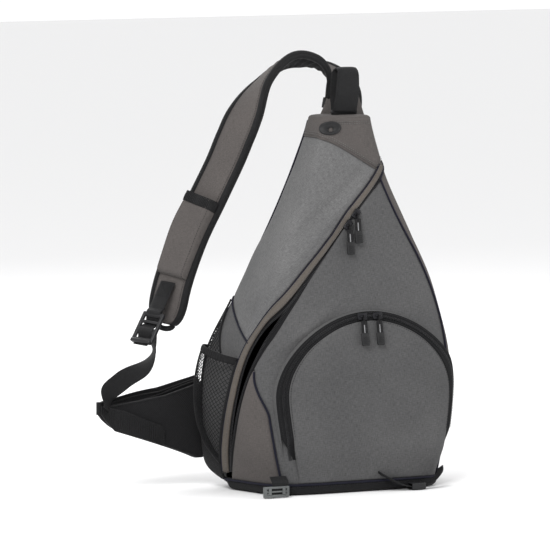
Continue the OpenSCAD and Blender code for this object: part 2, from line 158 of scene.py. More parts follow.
def crumple(p, amount=0.7, scale=1.0):
    """Soft hollows and folds, the same for every piece that passes through a place."""
    x, y, z = p[..., 0] * scale, p[..., 1] * scale, p[..., 2] * scale
    w = 9 * np.sin(z / 37.0 + 0.8) + 6 * np.sin(x / 29.0 - y / 33.0)
    return amount * (0.9 * np.sin((x + w) / 23.0 + z / 51.0) + 0.7 * np.sin((z - w) / 17.0 - x / 40.0 + 1.3)
                     + 0.5 * np.sin((x - y + w) / 11.0 + z / 19.0 + 2.1))


# ---- materials ----
def shader(name):
    """A new material with helpers: add sets and links a node, maths and ramp return their output."""
    m = bpy.data.materials.new(name)
    m.use_nodes = True
    t = m.node_tree
    t.nodes.clear()
    bsdf = t.nodes.new("ShaderNodeBsdfPrincipled")
    t.links.new(bsdf.outputs[0], t.nodes.new("ShaderNodeOutputMaterial").inputs[0])

    def add(kind, links, **values):
        n = t.nodes.new("ShaderNode" + kind)
        for k, v in values.items():
            if k in n.inputs:
                n.inputs[k].default_value = v
            else:
                setattr(n, k, v)
        for k, source in links.items():
            t.links.new(source, n.inputs[k])
        return n

    def maths(operation, *values):
        n = add("Math", {}, operation=operation)
        for k, v in enumerate(values):
            if isinstance(v, float):
                n.inputs[k].default_value = v
            else:
                t.links.new(v, n.inputs[k])
        return n.outputs[0]

    def ramp(source, low, high, a=0.3, b=0.7):
        n = add("ValToRGB", {0: source})
        for element, place_at, colour in zip(n.color_ramp.elements, (a, b), (low, high)):
            element.position, element.color = place_at, (*colour, 1)
        return n.outputs[0]

    def finish(links, **values):
        for k, source in links.items():
            t.links.new(source, bsdf.inputs[k])
        for k, v in values.items():
            bsdf.inputs[k.replace("_", " ")].default_value = v
        return m

    return add, maths, ramp, finish


def cloth(name, dark, light, thread=0.8, heather=1.0, bump=0.35, sheen=0.03, rough=0.9):
    """Woven cloth: crossed threads at a pitch in mm on the metric UVs, with mixed fibres."""
    add, maths, ramp, finish = shader(name)
    uv = add("UVMap", {}, uv_map="UVMap").outputs[0]
    streaks = []
    for sx, sy in ((160, 1200), (1200, 160)):
        run = add("Mapping", {0: uv}, Scale=(sx, sy, 1)).outputs[0]
        streaks.append(add("TexNoise", {"Vector": run}, Scale=1.0, Detail=3.0, Roughness=0.65).outputs["Fac"])
    fibres = maths("MULTIPLY_ADD", maths("ADD", *streaks), 0.5 * heather, 0.5 - 0.5 * heather)
    where = add("TexCoord", {}).outputs["Object"]
    patch = add("TexNoise", {"Vector": where}, Scale=9.0, Detail=4.0).outputs["Fac"]
    worn = ramp(patch, (0.84, 0.84, 0.84), (1.12, 1.11, 1.10), 0.3, 0.72)
    mix = add("Mix", {}, data_type="RGBA", blend_type="MULTIPLY")
    mix.inputs[0].default_value = 1.0
    for k, source in ((6, ramp(fibres, dark, light, 0.36, 0.64)), (7, worn)):
        mix.id_data.links.new(source, mix.inputs[k])
    xy = add("SeparateXYZ", {0: uv})
    waves = [maths("SINE", maths("MULTIPLY", xy.outputs[k], 2 * math.pi / (thread * MM))) for k in (0, 1)]
    height = maths("ADD", maths("MULTIPLY", *waves), fibres)
    normal = add("Bump", {"Height": height}, Strength=bump, Distance=0.00035).outputs[0]
    gloss = ramp(fibres, (rough - 0.08,) * 3, (min(1, rough + 0.06),) * 3)
    return finish({"Base Color": mix.outputs[2], "Normal": normal, "Roughness": gloss},
                  Sheen_Weight=sheen, Sheen_Roughness=0.5, Specular_IOR_Level=0.15)


def moulded(name, colour, rough=0.45, grain=900.0, bump=0.12, metallic=0.0, speck=0.25):
    """Moulded or painted surface with a fine grain and a soft speckle."""
    add, maths, ramp, finish = shader(name)
    where = add("TexCoord", {}).outputs["Object"]
    fine = add("TexNoise", {"Vector": where}, Scale=grain, Detail=2.0).outputs["Fac"]
    wide = add("TexNoise", {"Vector": where}, Scale=60.0, Detail=4.0).outputs["Fac"]
    tone = ramp(wide, [c * (1 - speck) for c in colour], [min(1, c * (1 + speck)) for c in colour])
    gloss = ramp(wide, (rough - 0.08,) * 3, (rough + 0.1,) * 3)
    normal = add("Bump", {"Height": fine}, Strength=bump, Distance=0.0002).outputs[0]
    return finish({"Base Color": tone, "Normal": normal, "Roughness": gloss},
                  Metallic=metallic, Specular_IOR_Level=0.3)


M = {
    # one grey polyester in two copies: the darker copy is painted shade, used on the front, left side and front
    # pocket panels
    "grey": cloth("grey_polyester", (0.068, 0.068, 0.069), (0.135, 0.135, 0.136), 0.9, 1.0, 0.25),
    "grey_painted_shade": cloth("grey_polyester_painted_shade", (0.046, 0.046, 0.047), (0.090, 0.090, 0.091), 0.9, 1.0, 0.25),
    "warm": cloth("warm_grey_polyester", (0.052, 0.047, 0.045), (0.098, 0.089, 0.085), 0.8, 0.8),
    "binding": cloth("grosgrain_binding", (0.062, 0.054, 0.047), (0.125, 0.110, 0.096), 1.4, 0.6, 0.5, 0.0,
                     0.75),
    "black": cloth("black_nylon", (0.004, 0.004, 0.0045), (0.013, 0.013, 0.014), 0.7, 0.8, 0.5),
    "lining": cloth("black_lining", (0.002, 0.002, 0.002), (0.005, 0.005, 0.005), 0.4, 0.6, 0.2, 0.0),
    "spacer": cloth("spacer_mesh", (0.003, 0.003, 0.0035), (0.015, 0.015, 0.016), 2.6, 0.5, 1.0),
    "webbing": cloth("webbing", (0.004, 0.004, 0.0045), (0.022, 0.022, 0.023), 1.5, 0.6, 1.0, 0.0, 0.6),
    "piping": cloth("navy_piping", (0.004, 0.004, 0.008), (0.012, 0.012, 0.024), 0.9, 0.7, 0.5),
    "net": cloth("net_cord", (0.004, 0.004, 0.0045), (0.014, 0.014, 0.015), 0.5, 0.7, 0.3),
    "thread": cloth("grey_thread", (0.06, 0.06, 0.06), (0.17, 0.167, 0.163), 0.4, 0.7, 0.3),
    "thread_dark": cloth("black_thread", (0.006, 0.006, 0.0065), (0.028, 0.028, 0.03), 0.4, 0.7, 0.3),
    "tape": cloth("zip_tape", (0.003, 0.003, 0.0035), (0.012, 0.012, 0.013), 0.9, 0.5, 0.6, 0.0, 0.75),
    "coil": moulded("zip_coil", (0.010, 0.010, 0.011), 0.38),
    "metal": moulded("painted_zip_metal", (0.014, 0.014, 0.016), 0.34, 500.0, 0.08, 0.6),
    "plastic": moulded("moulded_acetal", (0.010, 0.010, 0.011), 0.42),
    "buckle": moulded("moulded_grey_acetal", (0.085, 0.09, 0.09), 0.36),
    "rubber": moulded("moulded_rubber", (0.007, 0.007, 0.0075), 0.55, 700.0, 0.3),
    "cord": cloth("light_cord", (0.16, 0.16, 0.165), (0.34, 0.34, 0.35), 0.6, 0.6, 0.5),
    "foam": moulded("foam", (0.03, 0.03, 0.031), 0.9, 300.0, 0.6),
    "board": moulded("board", (0.02, 0.02, 0.02), 0.6, 400.0, 0.3),
}


# ---- mesh helpers ----
def show(name, data):
    ob = bpy.data.objects.new(name, data)
    bpy.context.scene.collection.objects.link(ob)
    return ob


def make(name, verts, faces, mats, uvs=None, face_mats=None):
    """Smooth mesh from points in mm, with metric UVs."""
    me = bpy.data.meshes.new(name)
    me.from_pydata([tuple(v) for v in np.asarray(verts) * MM], [], faces)
    for m in mats:
        me.materials.append(M[m])
    layer = me.uv_layers.new(name="UVMap")
    if uvs is None:
        uvs = np.asarray(verts)[:, [0, 2]]
    loops = np.empty(len(me.loops), int)
    me.loops.foreach_get("vertex_index", loops)
    layer.data.foreach_set("uv", (np.asarray(uvs)[loops] * MM).astype(np.float32).ravel())
    if face_mats is not None:
        me.polygons.foreach_set("material_index", face_mats)
    me.polygons.foreach_set("use_smooth", [True] * len(me.polygons))
    me.update()
    return show(name, me)


def stands_for(ob, nodes):
    if nodes:
        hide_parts(*nodes)
    return ob


def place(ob, body, slot, *nodes):
    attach(ob, body)
    return stands_for(ob, nodes)


def lengths(p):
    """Length along a path up to each of its points."""
    return np.concatenate([[0], np.cumsum(np.linalg.norm(np.diff(p, axis=0), axis=1))])


def nearest(p, path):
    return np.argmin(((p[:, None] - path[None]) ** 2).sum(-1), 1)


def grid_uv(g):
    """Metric UVs of a grid, from the lengths along its middle row and column."""
    r, c = g.shape[0] // 2, g.shape[1] // 2
    across = np.linalg.norm(np.diff(g, axis=1), axis=2)
    u = np.concatenate([np.zeros((g.shape[0], 1)), np.cumsum(across, 1)], 1)
    u -= u[:, c:c + 1]
    up = lengths(g[:, c])
    return np.stack([u, np.repeat(up[:, None], g.shape[1], 1) - up[r]], -1)


def slab(name, outer, inner, mats):
    """Closed sheet between two grids of points, with its rim."""
    R, C = outer.shape[:2]
    n = R * C
    verts = np.concatenate([outer.reshape(-1, 3), inner.reshape(-1, 3)])
    uv = grid_uv(outer).reshape(-1, 2)
    idx = np.arange(n).reshape(R, C)
    a, b, c, d = idx[:-1, :-1], idx[:-1, 1:], idx[1:, 1:], idx[1:, :-1]
    front = np.stack([a, b, c, d], -1).reshape(-1, 4)
    back = np.stack([a, d, c, b], -1).reshape(-1, 4) + n
    ring = np.concatenate([idx[0, :-1], idx[:-1, -1], idx[-1, :0:-1], idx[:0:-1, 0]])
    nxt = np.roll(ring, -1)
    rim = np.stack([ring, ring + n, nxt + n, nxt], -1)
    faces = np.concatenate([front, back, rim]).tolist()
    fm = [0] * len(front) + [len(mats) - 1] * len(back) + [0] * len(rim)
    return make(name, verts, faces, mats, np.concatenate([uv, uv]), fm)


def pull_in(shape, width, height, depth, roll):
    """How far a sewn panel sinks towards its edges."""
    v = np.linspace(0, 1, shape[0])[:, None]
    u = np.linspace(0, 1, shape[1])[None, :]
    dist = np.minimum(np.minimum(u, 1 - u) * width, np.minimum(v, 1 - v) * height)
    return -depth * np.exp(-dist / roll)


def panel(name, left, right, mats, cols=48, lift=0.0, depth=1.6, roll=5.0, folds=0.7,
          thick=PANEL_T, extra=None, bend=None):
    """Sewn panel between two seams, padded out by folds and sinking at its edges."""
    left, right = np.asarray(left, float), np.asarray(right, float)
    u = np.linspace(0, 1, cols + 1)[None, :, None]
    sz = left[:, None] * (1 - u) + right[:, None] * u
    if bend is not None:
        sz = bend(sz)
    s, z = sz[..., 0], sz[..., 1]
    base = surf(s, z)
    width = np.linalg.norm(np.diff(base, axis=1), axis=2).sum(1).max()
    height = np.linalg.norm(np.diff(base, axis=0), axis=2).sum(0).max()
    d = lift + pull_in(s.shape, width, height, depth, roll)
    fade = 1 + pull_in(s.shape, width, height, 1.0, 12.0)
    d = d + crumple(base, folds) * fade
    if extra is not None:
        d = d + extra(s, z, base) * fade
    return slab(name, on_skin(s, z, d), on_skin(s, z, d * 0.4 - thick), mats)


def rows(a, b, n):
    return np.linspace(a, b, n + 1)


def tube(name, path, radius, mats, sides=8, closed=False):
    p = np.asarray(path, float)
    n = len(p)
    tan = np.roll(p, -1, 0) - np.roll(p, 1, 0)
    if not closed:
        tan[0], tan[-1] = p[1] - p[0], p[-1] - p[-2]
    tan = unit(tan)
    ref = np.array([0.0, 0.0, 1.0]) if abs(tan[0][2]) < 0.9 else np.array([0.0, 1.0, 0.0])
    side = unit(np.cross(tan[0], ref))
    rings = []
    a = np.linspace(0, 2 * math.pi, sides, endpoint=False)[:, None]
    for i in range(n):
        side = unit(side - tan[i] * np.dot(side, tan[i]))
        up = np.cross(tan[i], side)
        rings.append(p[i] + radius * (np.cos(a) * side + np.sin(a) * up))
    verts = np.concatenate(rings)
    faces = []
    for i in range(n if closed else n - 1):
        j = (i + 1) % n
        for k in range(sides):
            m = (k + 1) % sides
            faces.append([i * sides + k, i * sides + m, j * sides + m, j * sides + k])
    if not closed:
        faces.append(list(range(sides))[::-1])
        faces.append([(n - 1) * sides + k for k in range(sides)])
    round_it = np.arange(sides) * 2 * math.pi * radius / sides
    uv = np.stack([np.tile(round_it, n), np.repeat(lengths(p), sides)], -1)
    return make(name, verts, faces, mats, uv)


def resample(p, step):
    p = np.asarray(p, float)
    along = lengths(p)
    t = np.linspace(0, along[-1], max(2, int(along[-1] / step) + 1))
    return np.stack([np.interp(t, along, p[:, k]) for k in range(3)], -1)


BEAD = [(-1, 0, 0), (-0.55, 1, 0), (-0.55, 0, 1), (-0.55, -1, 0), (-0.55, 0, -1),
        (0.55, 1, 0), (0.55, 0, 1), (0.55, -1, 0), (0.55, 0, -1), (1, 0, 0)]
BEAD_FACES = [(0, 1, 2), (0, 2, 3), (0, 3, 4), (0, 4, 1), (1, 5, 6, 2), (2, 6, 7, 3),
              (3, 7, 8, 4), (4, 8, 5, 1), (9, 6, 5), (9, 7, 6), (9, 8, 7), (9, 5, 8)]


def beads(name, places, along, across, size, mats):
    """Small capsules, one at each place: stitches, or the turns of a zip's coil."""
    places, along, across = (np.asarray(v, float) for v in (places, along, across))
    e1 = unit(along)
    e2 = unit(across - e1 * (across * e1).sum(-1, keepdims=True))
    e3 = np.cross(e1, e2)
    b = np.array(BEAD, float)
    verts = (places[:, None] + b[None, :, 0:1] * size[0] * e1[:, None]
             + b[None, :, 1:2] * size[1] * e2[:, None] + b[None, :, 2:3] * size[2] * e3[:, None])
    faces = [[v + 10 * i for v in f] for i in range(len(places)) for f in BEAD_FACES]
    return make(name, verts.reshape(-1, 3), faces, mats)


def stitch_line(name, path, normal, mats=("thread",), pitch=3.4, size=(1.25, 0.38, 0.3)):
    """A row of stitches along a path that stands out along a normal."""
    p = resample(path, pitch)
    src = np.asarray(path, float)
    nn = np.broadcast_to(np.asarray(normal, float), src.shape)[nearest(p, src)]
    t = np.gradient(p, axis=0)
    return beads(name, p + nn * 0.15, t, np.cross(nn, t), size, mats)


def seam_stitches(name, s, z, lift, mats=("thread",), slot="grey_fabric"):
    place(stitch_line(name, on_skin(s, z, lift), outward(s, z), mats), "bag", slot)


def block(name, size, at, mats, bevel=0.6, holes=()):
    """Moulded block with rounded edges; holes are boxes cut through it."""
    bm = bmesh.new()
    bmesh.ops.create_cube(bm, size=1.0, matrix=Matrix.Translation(Vector(at) * MM)
                          @ Matrix.Diagonal((*[v * MM for v in size], 1)))
    me = bpy.data.meshes.new(name)
    bm.to_mesh(me)
    bm.free()
    ob = show(name, me)
    for hole_size, hole_at in holes:
        cutter = block(name + "_cut", hole_size, hole_at, mats, 0)
        mod = ob.modifiers.new("cut", "BOOLEAN")
        mod.operation, mod.object, mod.solver = "DIFFERENCE", cutter, "EXACT"
        apply_all(ob)
        bpy.data.objects.remove(cutter)
    if bevel:
        mod = ob.modifiers.new("bevel", "BEVEL")
        mod.width, mod.segments, mod.limit_method = bevel * MM, 3, "ANGLE"
        apply_all(ob)
    me = ob.data
    me.materials.clear()
    for m in mats:
        me.materials.append(M[m])
    layer = me.uv_layers.get("UVMap") or me.uv_layers.new(name="UVMap")
    for poly in me.polygons:
        poly.use_smooth = True
        flat = max(range(3), key=lambda i: abs(poly.normal[i]))
        for li in poly.loop_indices:
            co = me.vertices[me.loops[li].vertex_index].co
            layer.data[li].uv = [co[i] for i in range(3) if i != flat]
    return ob


def apply_all(ob):
    """Turn the piece's modifiers into its mesh."""
    dg = bpy.context.evaluated_depsgraph_get()
    me = bpy.data.meshes.new_from_object(ob.evaluated_get(dg))
    ob.modifiers.clear()
    ob.data = me


def join(name, parts):
    """One piece out of several, with each material once."""
    for p in parts[1:]:
        bm = bmesh.new()
        bm.from_mesh(parts[0].data)
        known = list(parts[0].data.materials)
        for m in p.data.materials:
            if m not in known:
                parts[0].data.materials.append(m)
                known.append(m)
        remap = [known.index(m) for m in p.data.materials]
        for poly in p.data.polygons:
            poly.material_index = remap[min(poly.material_index, len(remap) - 1)] if remap else 0
        bm.from_mesh(p.data)
        bm.to_mesh(parts[0].data)
        bm.free()
        bpy.data.objects.remove(p)
    parts[0].name = name
    return parts[0]


# ---- camera, floor and light ----
VIEW_AZ, VIEW_EL = math.radians(-28), math.radians(5)
SPAN = 550 * 1.3 * MM
DISTANCE = 8.0
FLOOR_HALF, FLOOR_Z = 12.0, -0.0006


def stage():
    back = Vector((math.sin(VIEW_AZ) * math.cos(VIEW_EL), -math.cos(VIEW_AZ) * math.cos(VIEW_EL),
                   math.sin(VIEW_EL)))
    right = Vector((math.cos(VIEW_AZ), math.sin(VIEW_AZ), 0))
    up = back.cross(right)
    aim = right * -0.078 + up * 0.2725
    cam = bpy.data.cameras.new("camera")
    cam.sensor_width = 36.0
    cam.lens = 36.0 * DISTANCE / SPAN
    cam.clip_end = 50.0
    ob = show("camera", cam)
    ob.matrix_world = Matrix.Translation(aim + back * DISTANCE) @ Matrix(
        (right, up, back)).transposed().to_4x4()
    bpy.context.scene.camera = ob
    floor_m = bpy.data.materials.new("pale_floor")
    floor_m.use_nodes = True
    paint = floor_m.node_tree.nodes["Principled BSDF"].inputs
    paint["Base Color"].default_value = (0.80, 0.80, 0.80, 1)
    paint["Roughness"].default_value = 0.8
    me = bpy.data.meshes.new("floor")
    corners = [(-1, -1), (1, -1), (1, 1), (-1, 1)]
    me.from_pydata([(x * FLOOR_HALF, y * FLOOR_HALF, FLOOR_Z) for x, y in corners], [], [(0, 1, 2, 3)])
    me.materials.append(floor_m)
    show("floor", me)
    world = bpy.data.worlds.new("studio")
    world.use_nodes = True
    sky = world.node_tree.nodes["Background"].inputs
    sky[0].default_value, sky[1].default_value = (0.95, 0.95, 0.955, 1), 1.12
    bpy.context.scene.world = world
    bpy.context.scene.view_settings.view_transform = "Standard"
    for name, at, size, power in (("key", (-1.6, -1.5, 2.0), 1.2, 62), ("fill", (2.2, -1.2, 1.2), 1.6, 16),
                                  ("rim", (0.3, 2.2, 1.8), 1.4, 26)):
        light = bpy.data.lights.new(name, "AREA")
        light.size, light.energy = size, power
        lamp = show(name, light)
        lamp.location = at
        lamp.rotation_euler = (Vector((0, 0, 0.25)) - Vector(at)).to_track_quat("-Z", "Y").to_euler()


stage()


# ---- body panels ----
def body_panel(name, left, right, mats, *shape, slot="grey_fabric", nodes=True, **extra):
    """Panel of the bag between two seams, standing for the CAD node of its name."""
    ob = panel(name, left, right, mats, *shape, **extra)
    return place(ob, "bag", slot, *([name] if nodes else []))


def body_panels():
    n = 70
    zr = rows(COVER_LOW, YOKE_Z, n)

    def under_yoke(sz):
        v = np.linspace(0, 1, sz.shape[0])[:, None]
        sz = sz.copy()
        sz[..., 1] += v**3 * (yoke_z(sz[-1, :, 0]) - sz[-1, :, 1])[None]
        return sz

    def ridge(s, z, _):
        line = cover_s(np.clip(z, COVER_LOW, 480)) - s
        return 2.6 * np.exp(-((line - 0.17) / 0.045) ** 2) - 3.0 * np.exp(-((line - 0.34) / 0.09) ** 2)

    def crease(s, z, _):
        line = (z - 186) - 165 * (s - 1.03)
        fold = np.exp(-(line / 7.0) ** 2) * np.exp(-((s - 1.18) / 0.2) ** 2)
        return 1.8 * fold - 1.6 * np.exp(-((line + 14) / 9.0) ** 2) * np.exp(-((s - 1.2) / 0.22) ** 2)

    body_panel("cover_panel", seam(LEFT_SEAM, rows(248, 455, n)), seam(cover_s(zr) - binding_s(zr), zr),
               ["grey", "lining"], 80, 1.2, 2.2, 7, 1.5, extra=ridge, bend=under_yoke)
    z = np.concatenate([rows(22, 340, 90), rows(344, 418, 24)])
    edge = cover_s(z)
    body_panel("cover_binding", seam(edge - binding_s(z), z), seam(edge, z), ["binding", "lining"],
               10, 1.6, 1.3, 1.2, 0.45, slot="binding_tape")
    place(tube("binding_line", on_skin(edge - binding_s(z), z, 1.0), 0.8, ["piping"]), "bag", "black_fabric")
    for k, f in (("upper", 0.82), ("lower", 0.18)):
        seam_stitches("binding_stitches_" + k, edge - binding_s(z) * f, z, 1.7)
    z = np.concatenate([rows(BASE_TOP, GUSSET_TIP, 40), rows(163, 396, 70)])
    left = np.where(z <= GUSSET_TIP, pip_s(z), front_s(z) + 0.006)
    body_panel("front_panel", seam(left, z), seam(right_seam(z), z), ["grey_painted_shade", "lining"],
               90, 0.6, 1.8, 6, 0.8, extra=crease)
    z = rows(BASE_TOP, GUSSET_TIP, 50)
    body_panel("front_gusset_left", seam(front_s(z) + 0.006, z), seam(pip_s(z), z), ["warm", "lining"],
               24, 0.6, 1.6, 5, 0.7, slot="warm_grey_fabric")
    zr = rows(BASE_TOP, COVER_LOW, 50)
    body_panel("side_panel_left", seam(LEFT_SEAM, rows(BASE_TOP, 247, 50)),
               seam(cover_s(zr) - binding_s(zr), zr), ["grey_painted_shade", "lining"], 36, 0.5, 1.5, 5, 0.8)
    zr = rows(BASE_TOP, 421, 100)
    body_panel("side_panel_right", seam(right_seam(zr), zr), seam(BACK_SEAM, rows(BASE_TOP, 451, 100)),
               ["warm", "lining"], 60, 0.8, 1.8, 6, 0.8, slot="warm_grey_fabric")
    # black cloth over the foot of the left side, where the wing is sewn on
    zr = rows(BASE_TOP, 41, 30)
    body_panel("wing_root", seam(LEFT_SEAM - 0.02, rows(BASE_TOP, 96, 30)),
               seam(cover_s(zr) - binding_s(zr) - 0.004, zr), ["spacer", "black"],
               30, 2.6, 0.8, 3, 0.8, 1.4, slot="black_fabric", nodes=False)


def top_yoke():
    s = np.linspace(LEFT_SEAM, BACK_SEAM, 121)
    v = np.linspace(0, 1, 22)[:, None]
    z = yoke_z(s)[None] * (1 - v) + (BODY_H - 3.5) * v
    ss = np.broadcast_to(s, z.shape)
    p = surf(ss, z)
    d = crumple(p, 0.4) + 1.2 - 1.6 * np.exp(-(z - yoke_z(s)[None]) / 3.0)
    wall = slab("top_yoke", on_skin(ss, z, d), on_skin(ss, z, d - PANEL_T), ["warm", "lining"])
    ring = np.linspace(0, 4, 161)[:-1]
    base = surf(ring, BODY_H - 4.0)
    mid = base.mean(0)
    shells = []
    for k, h in ((1.02, 0), (1.0, 1.8), (0.93, 3.2), (0.8, 3.9), (0.5, 4.2), (0.02, 4.4)):
        q = mid + (base - mid) * k
        q[:, 2] = BODY_H - 4.0 + h
        shells.append(q)
    g = np.stack(shells)
    g = np.concatenate([g, g[:, :1]], 1)
    low = g.copy()
    low[..., 2] -= 2.5
    cap = slab("yoke_cap", g, low, ["warm", "lining"])
    place(wall, "bag", "warm_grey_fabric", "top_yoke")
    place(cap, "bag", "warm_grey_fabric")
    for k, lift in (("a", 3.0), ("b", 5.6)):
        seam_stitches("yoke_stitches_" + k, s, yoke_z(s) + lift, 1.3)
    se = np.linspace(1.05, 1.95, 40)
    for k, h in (("a", 3.5), ("b", 6.0)):
        seam_stitches("yoke_top_stitches_" + k, se, BODY_H - 5 - h, 1.4)


def pipings():
    def run(name, s, z, r=1.5, lift=0.6, mat="piping"):
        place(tube(name, on_skin(s, z, lift), r, [mat]), "bag", "black_fabric")

    z = rows(BASE_TOP, GUSSET_TIP - 1, 60)
    run("piping_gusset", pip_s(z), z)
    z = rows(BASE_TOP, 421, 110)
    run("piping_right", right_seam(z), z, 1.3)
    for side, s in (("right", BACK_SEAM), ("left", 4.02)):
        run("piping_back_" + side, s, rows(BASE_TOP, 474, 90), 1.8)
    s = np.linspace(LEFT_SEAM, 0.795, 40)
    run("piping_side_left", s, np.interp(s, [LEFT_SEAM, 0.795], [247.5, 194]), 1.2)
    s = np.linspace(LEFT_SEAM, BACK_SEAM, 90)
    run("piping_yoke", s, yoke_z(s) - 0.3, 0.9, 0.0, "warm")
    s = np.linspace(0, 4, 160)[:-1]
    place(tube("piping_base", on_skin(s, BASE_TOP, 0.7), 1.5, ["piping"], 8, True), "bag", "black_fabric")


BACK_EDGE = 4.07


def back():
    """Quilted mesh back over its foam."""
    def channels(s, z, _):
        quilt = 1.5
        for k in (0.30, 0.5, 0.70):
            quilt = quilt - 3.2 * np.exp(-(((s - BACK_SEAM) / (BACK_EDGE - BACK_SEAM) - k) / 0.018) ** 2)
        for h in (95, 190, 285, 380):
            quilt = quilt - 2.6 * np.exp(-((z - h) / 4.0) ** 2)
        return quilt

    z = rows(BASE_TOP, 474, 110)
    ob = body_panel("back_panel", seam(BACK_SEAM, z), seam(BACK_EDGE, z), ["spacer", "lining"],
                    120, 0.5, 3.0, 9, 0.5, extra=channels, slot="black_mesh")
    s, z = np.meshgrid(np.linspace(BACK_SEAM + 0.02, 4.05, 41), rows(BASE_TOP, 462, 60))
    place(slab("back_lining", on_skin(s, z, -5.5), on_skin(s, z, -10.5), ["foam", "lining"]),
          "bag", "foam", "back_foam")


def base():
    s = np.linspace(0, 4, 201)
    profile = [(BASE_TOP, 0.4), (9.5, 1.0), (5.5, 0.8), (3.0, -0.4), (1.2, -2.6), (0.3, -6.0), (0.0, -11.0)]
    g = np.stack([on_skin(s, max(h, 0.5), d) for h, d in profile])
    for i, (h, d) in enumerate(profile):
        g[i, :, 2] = h
    mid = g[-1].mean(0)
    inner = [mid + (g[-1] - mid) * k for k in (0.75, 0.4, 0.02)]
    outer = np.concatenate([g, np.stack(inner)])[::-1]
    up = outer.copy()
    up[..., 2] += 2.2
    c = outer.mean((0, 1))
    up[..., :2] = c[:2] + (outer[..., :2] - c[:2]) * 0.985
    place(slab("base_panel", outer, up, ["black", "lining"]), "bag", "black_fabric", "base_panel")
    seam_stitches("base_stitches_upper", s[:-1], 10.2, 1.1, ("thread_dark",), "black_fabric")


# ---- zips ----
ZIP_TOP = 345


def coil(name, p, n, size):
    """A zip's coil along a path that stands out along normals."""
    t = np.gradient(p, axis=0)
    place(beads(name, p, np.cross(n, t), t, size, ["coil"]), "bag", "webbing")


def zip_edge(side_name, s, z, side, lift):
    """One side of the open zip: the tape and the coil along its edge."""
    name = "main_zip_tape_" + side_name
    t0, t1 = sorted((side * -0.012, side * 0.030))
    place(panel(name + "_tape", seam(s + t0, z), seam(s + t1, z), ["tape"], 8, lift, 0.3, 2.0, 0.2, 1.0),
          "bag", "webbing", name)
    p = resample(on_skin(s + side * 0.031, z, lift + 0.2), 1.9)
    coil(name + "_coil", p, outward(np.interp(p[:, 2], z, s), p[:, 2]), (2.0, 0.72, 0.9))


def main_zip():
    z = rows(24, ZIP_TOP, 150)
    zip_edge("upper", cover_s(z) - 0.002, z, 1, -1.6)
    zip_edge("lower", front_s(z) + 0.006, z, -1, -1.2)
    z = rows(ZIP_TOP, 412, 30)
    mid = cover_s(z) + 0.014
    ob = panel("main_zip_closed", seam(mid - 0.02, z), seam(mid + 0.03, z), ["tape"], 8, 0.2, 0.2, 2.0, 0.2, 1.0)
    place(ob, "bag", "webbing")
    p = resample(on_skin(mid, z, 0.7), 1.6)
    coil("main_zip_closed_coil", p, outward(np.interp(p[:, 2], z, mid), p[:, 2]), (2.2, 0.62, 0.8))


def frame_at(s, z, d):
    """Axes on the surface: x across, y up and z outward."""
    n = outward(s, z)
    e = unit(np.cross([0, 0, 1.0], n))
    o = (surf(s, z) + n * d) * MM
    return Matrix([(*row, at) for row, at in zip(np.stack([e, np.cross(n, e), n], 1), o)] + [(0, 0, 0, 1)])


SLIDER_L, SLIDER_W, SLIDER_H, TAB_L = 13.0, 9.0, 3.0, 38.0
BAIL_Z = 5.2


def slider(name, m, turn):
    """Zip slider: its body turned along the zip, its bail upright for the pull."""
    body = block(name, (SLIDER_W, SLIDER_L, SLIDER_H), (0, 0, SLIDER_H / 2), ["metal"], 1.1)
    nose = block(name + "_nose", (5.4, 3.5, 2.6), (0, SLIDER_L / 2 - 0.6, 1.5), ["metal"], 0.9)
    for part in (body, nose):
        part.data.transform(Matrix.Rotation(math.radians(turn), 4, "Z"))
    arch_path = [(-4, 0, 2.4), (-4, 0, 4.3), (-3.2, 0, BAIL_Z), (3.2, 0, BAIL_Z), (4, 0, 4.3), (4, 0, 2.4)]
    bail = tube(name + "_bail", resample(arch_path, 0.6), 0.7, ["metal"], 10)
    ob = join(name, [body, nose, bail])
    ob.data.transform(m)
    place(ob, name, "zip_metal", name)


def pull(name, m):
    """Moulded grip on a woven tape, hung from the slider's bail by a cord."""
    z = BAIL_Z
    grip = block(name, (11.0, 16.5, 3.0), (0, -TAB_L + 8.25, z), ["rubber"], 1.3)
    ribs = [block(name + "_rib", (7.0, 0.9, 0.8), (0, -TAB_L + 3.5 + 2.4 * k, z + 1.6), ["rubber"], 0.3)
            for k in range(4)]
    tape = block(name + "_tape", (8.4, 17.0, 2.2), (0, -TAB_L + 23.5, z), ["webbing"], 0.8)
    line = block(name + "_line", (1.3, 10.5, 0.8), (-0.6, -TAB_L + 21.5, z + 1.1), ["cord"], 0.3)
    a = np.linspace(math.pi / 2, -math.pi / 2, 9)
    turn = [(0, 1.45 * math.cos(b), z + 1.45 * math.sin(b)) for b in a]
    cord = tube(name + "_cord", resample([(0, -10, z + 0.7), (0, -4, z + 1.4)] + turn
                                         + [(0, -4, z - 1.4), (0, -10, z - 0.7)], 0.6), 0.68, ["webbing"], 8)
    ob = join(name, [grip, tape, cord, line] + ribs)
    ob.data.transform(m)
    place(ob, name, "rubber", name)


ARCH_Z, ARCH_LOW, ARCH_H, ARCH_S, ARCH_MID = 122.0, 46.0, 110.0, 0.53, 1.545
POCKET_RISE = 7.0
ARCH_END = 90 + ARCH_Z - ARCH_LOW
ARCH_FADE = 34


def arch(a, k):
    a, k = np.broadcast_arrays(np.asarray(a, float), np.asarray(k, float))
    r = np.radians(a)
    bend = np.abs(a) <= 90
    s = np.where(bend, ARCH_MID + ARCH_S * k * np.sin(r), ARCH_MID + ARCH_S * k * np.sign(a))
    z = np.where(bend, ARCH_Z + ARCH_H * k * np.cos(r), ARCH_Z - (np.abs(a) - 90))
    return s, z


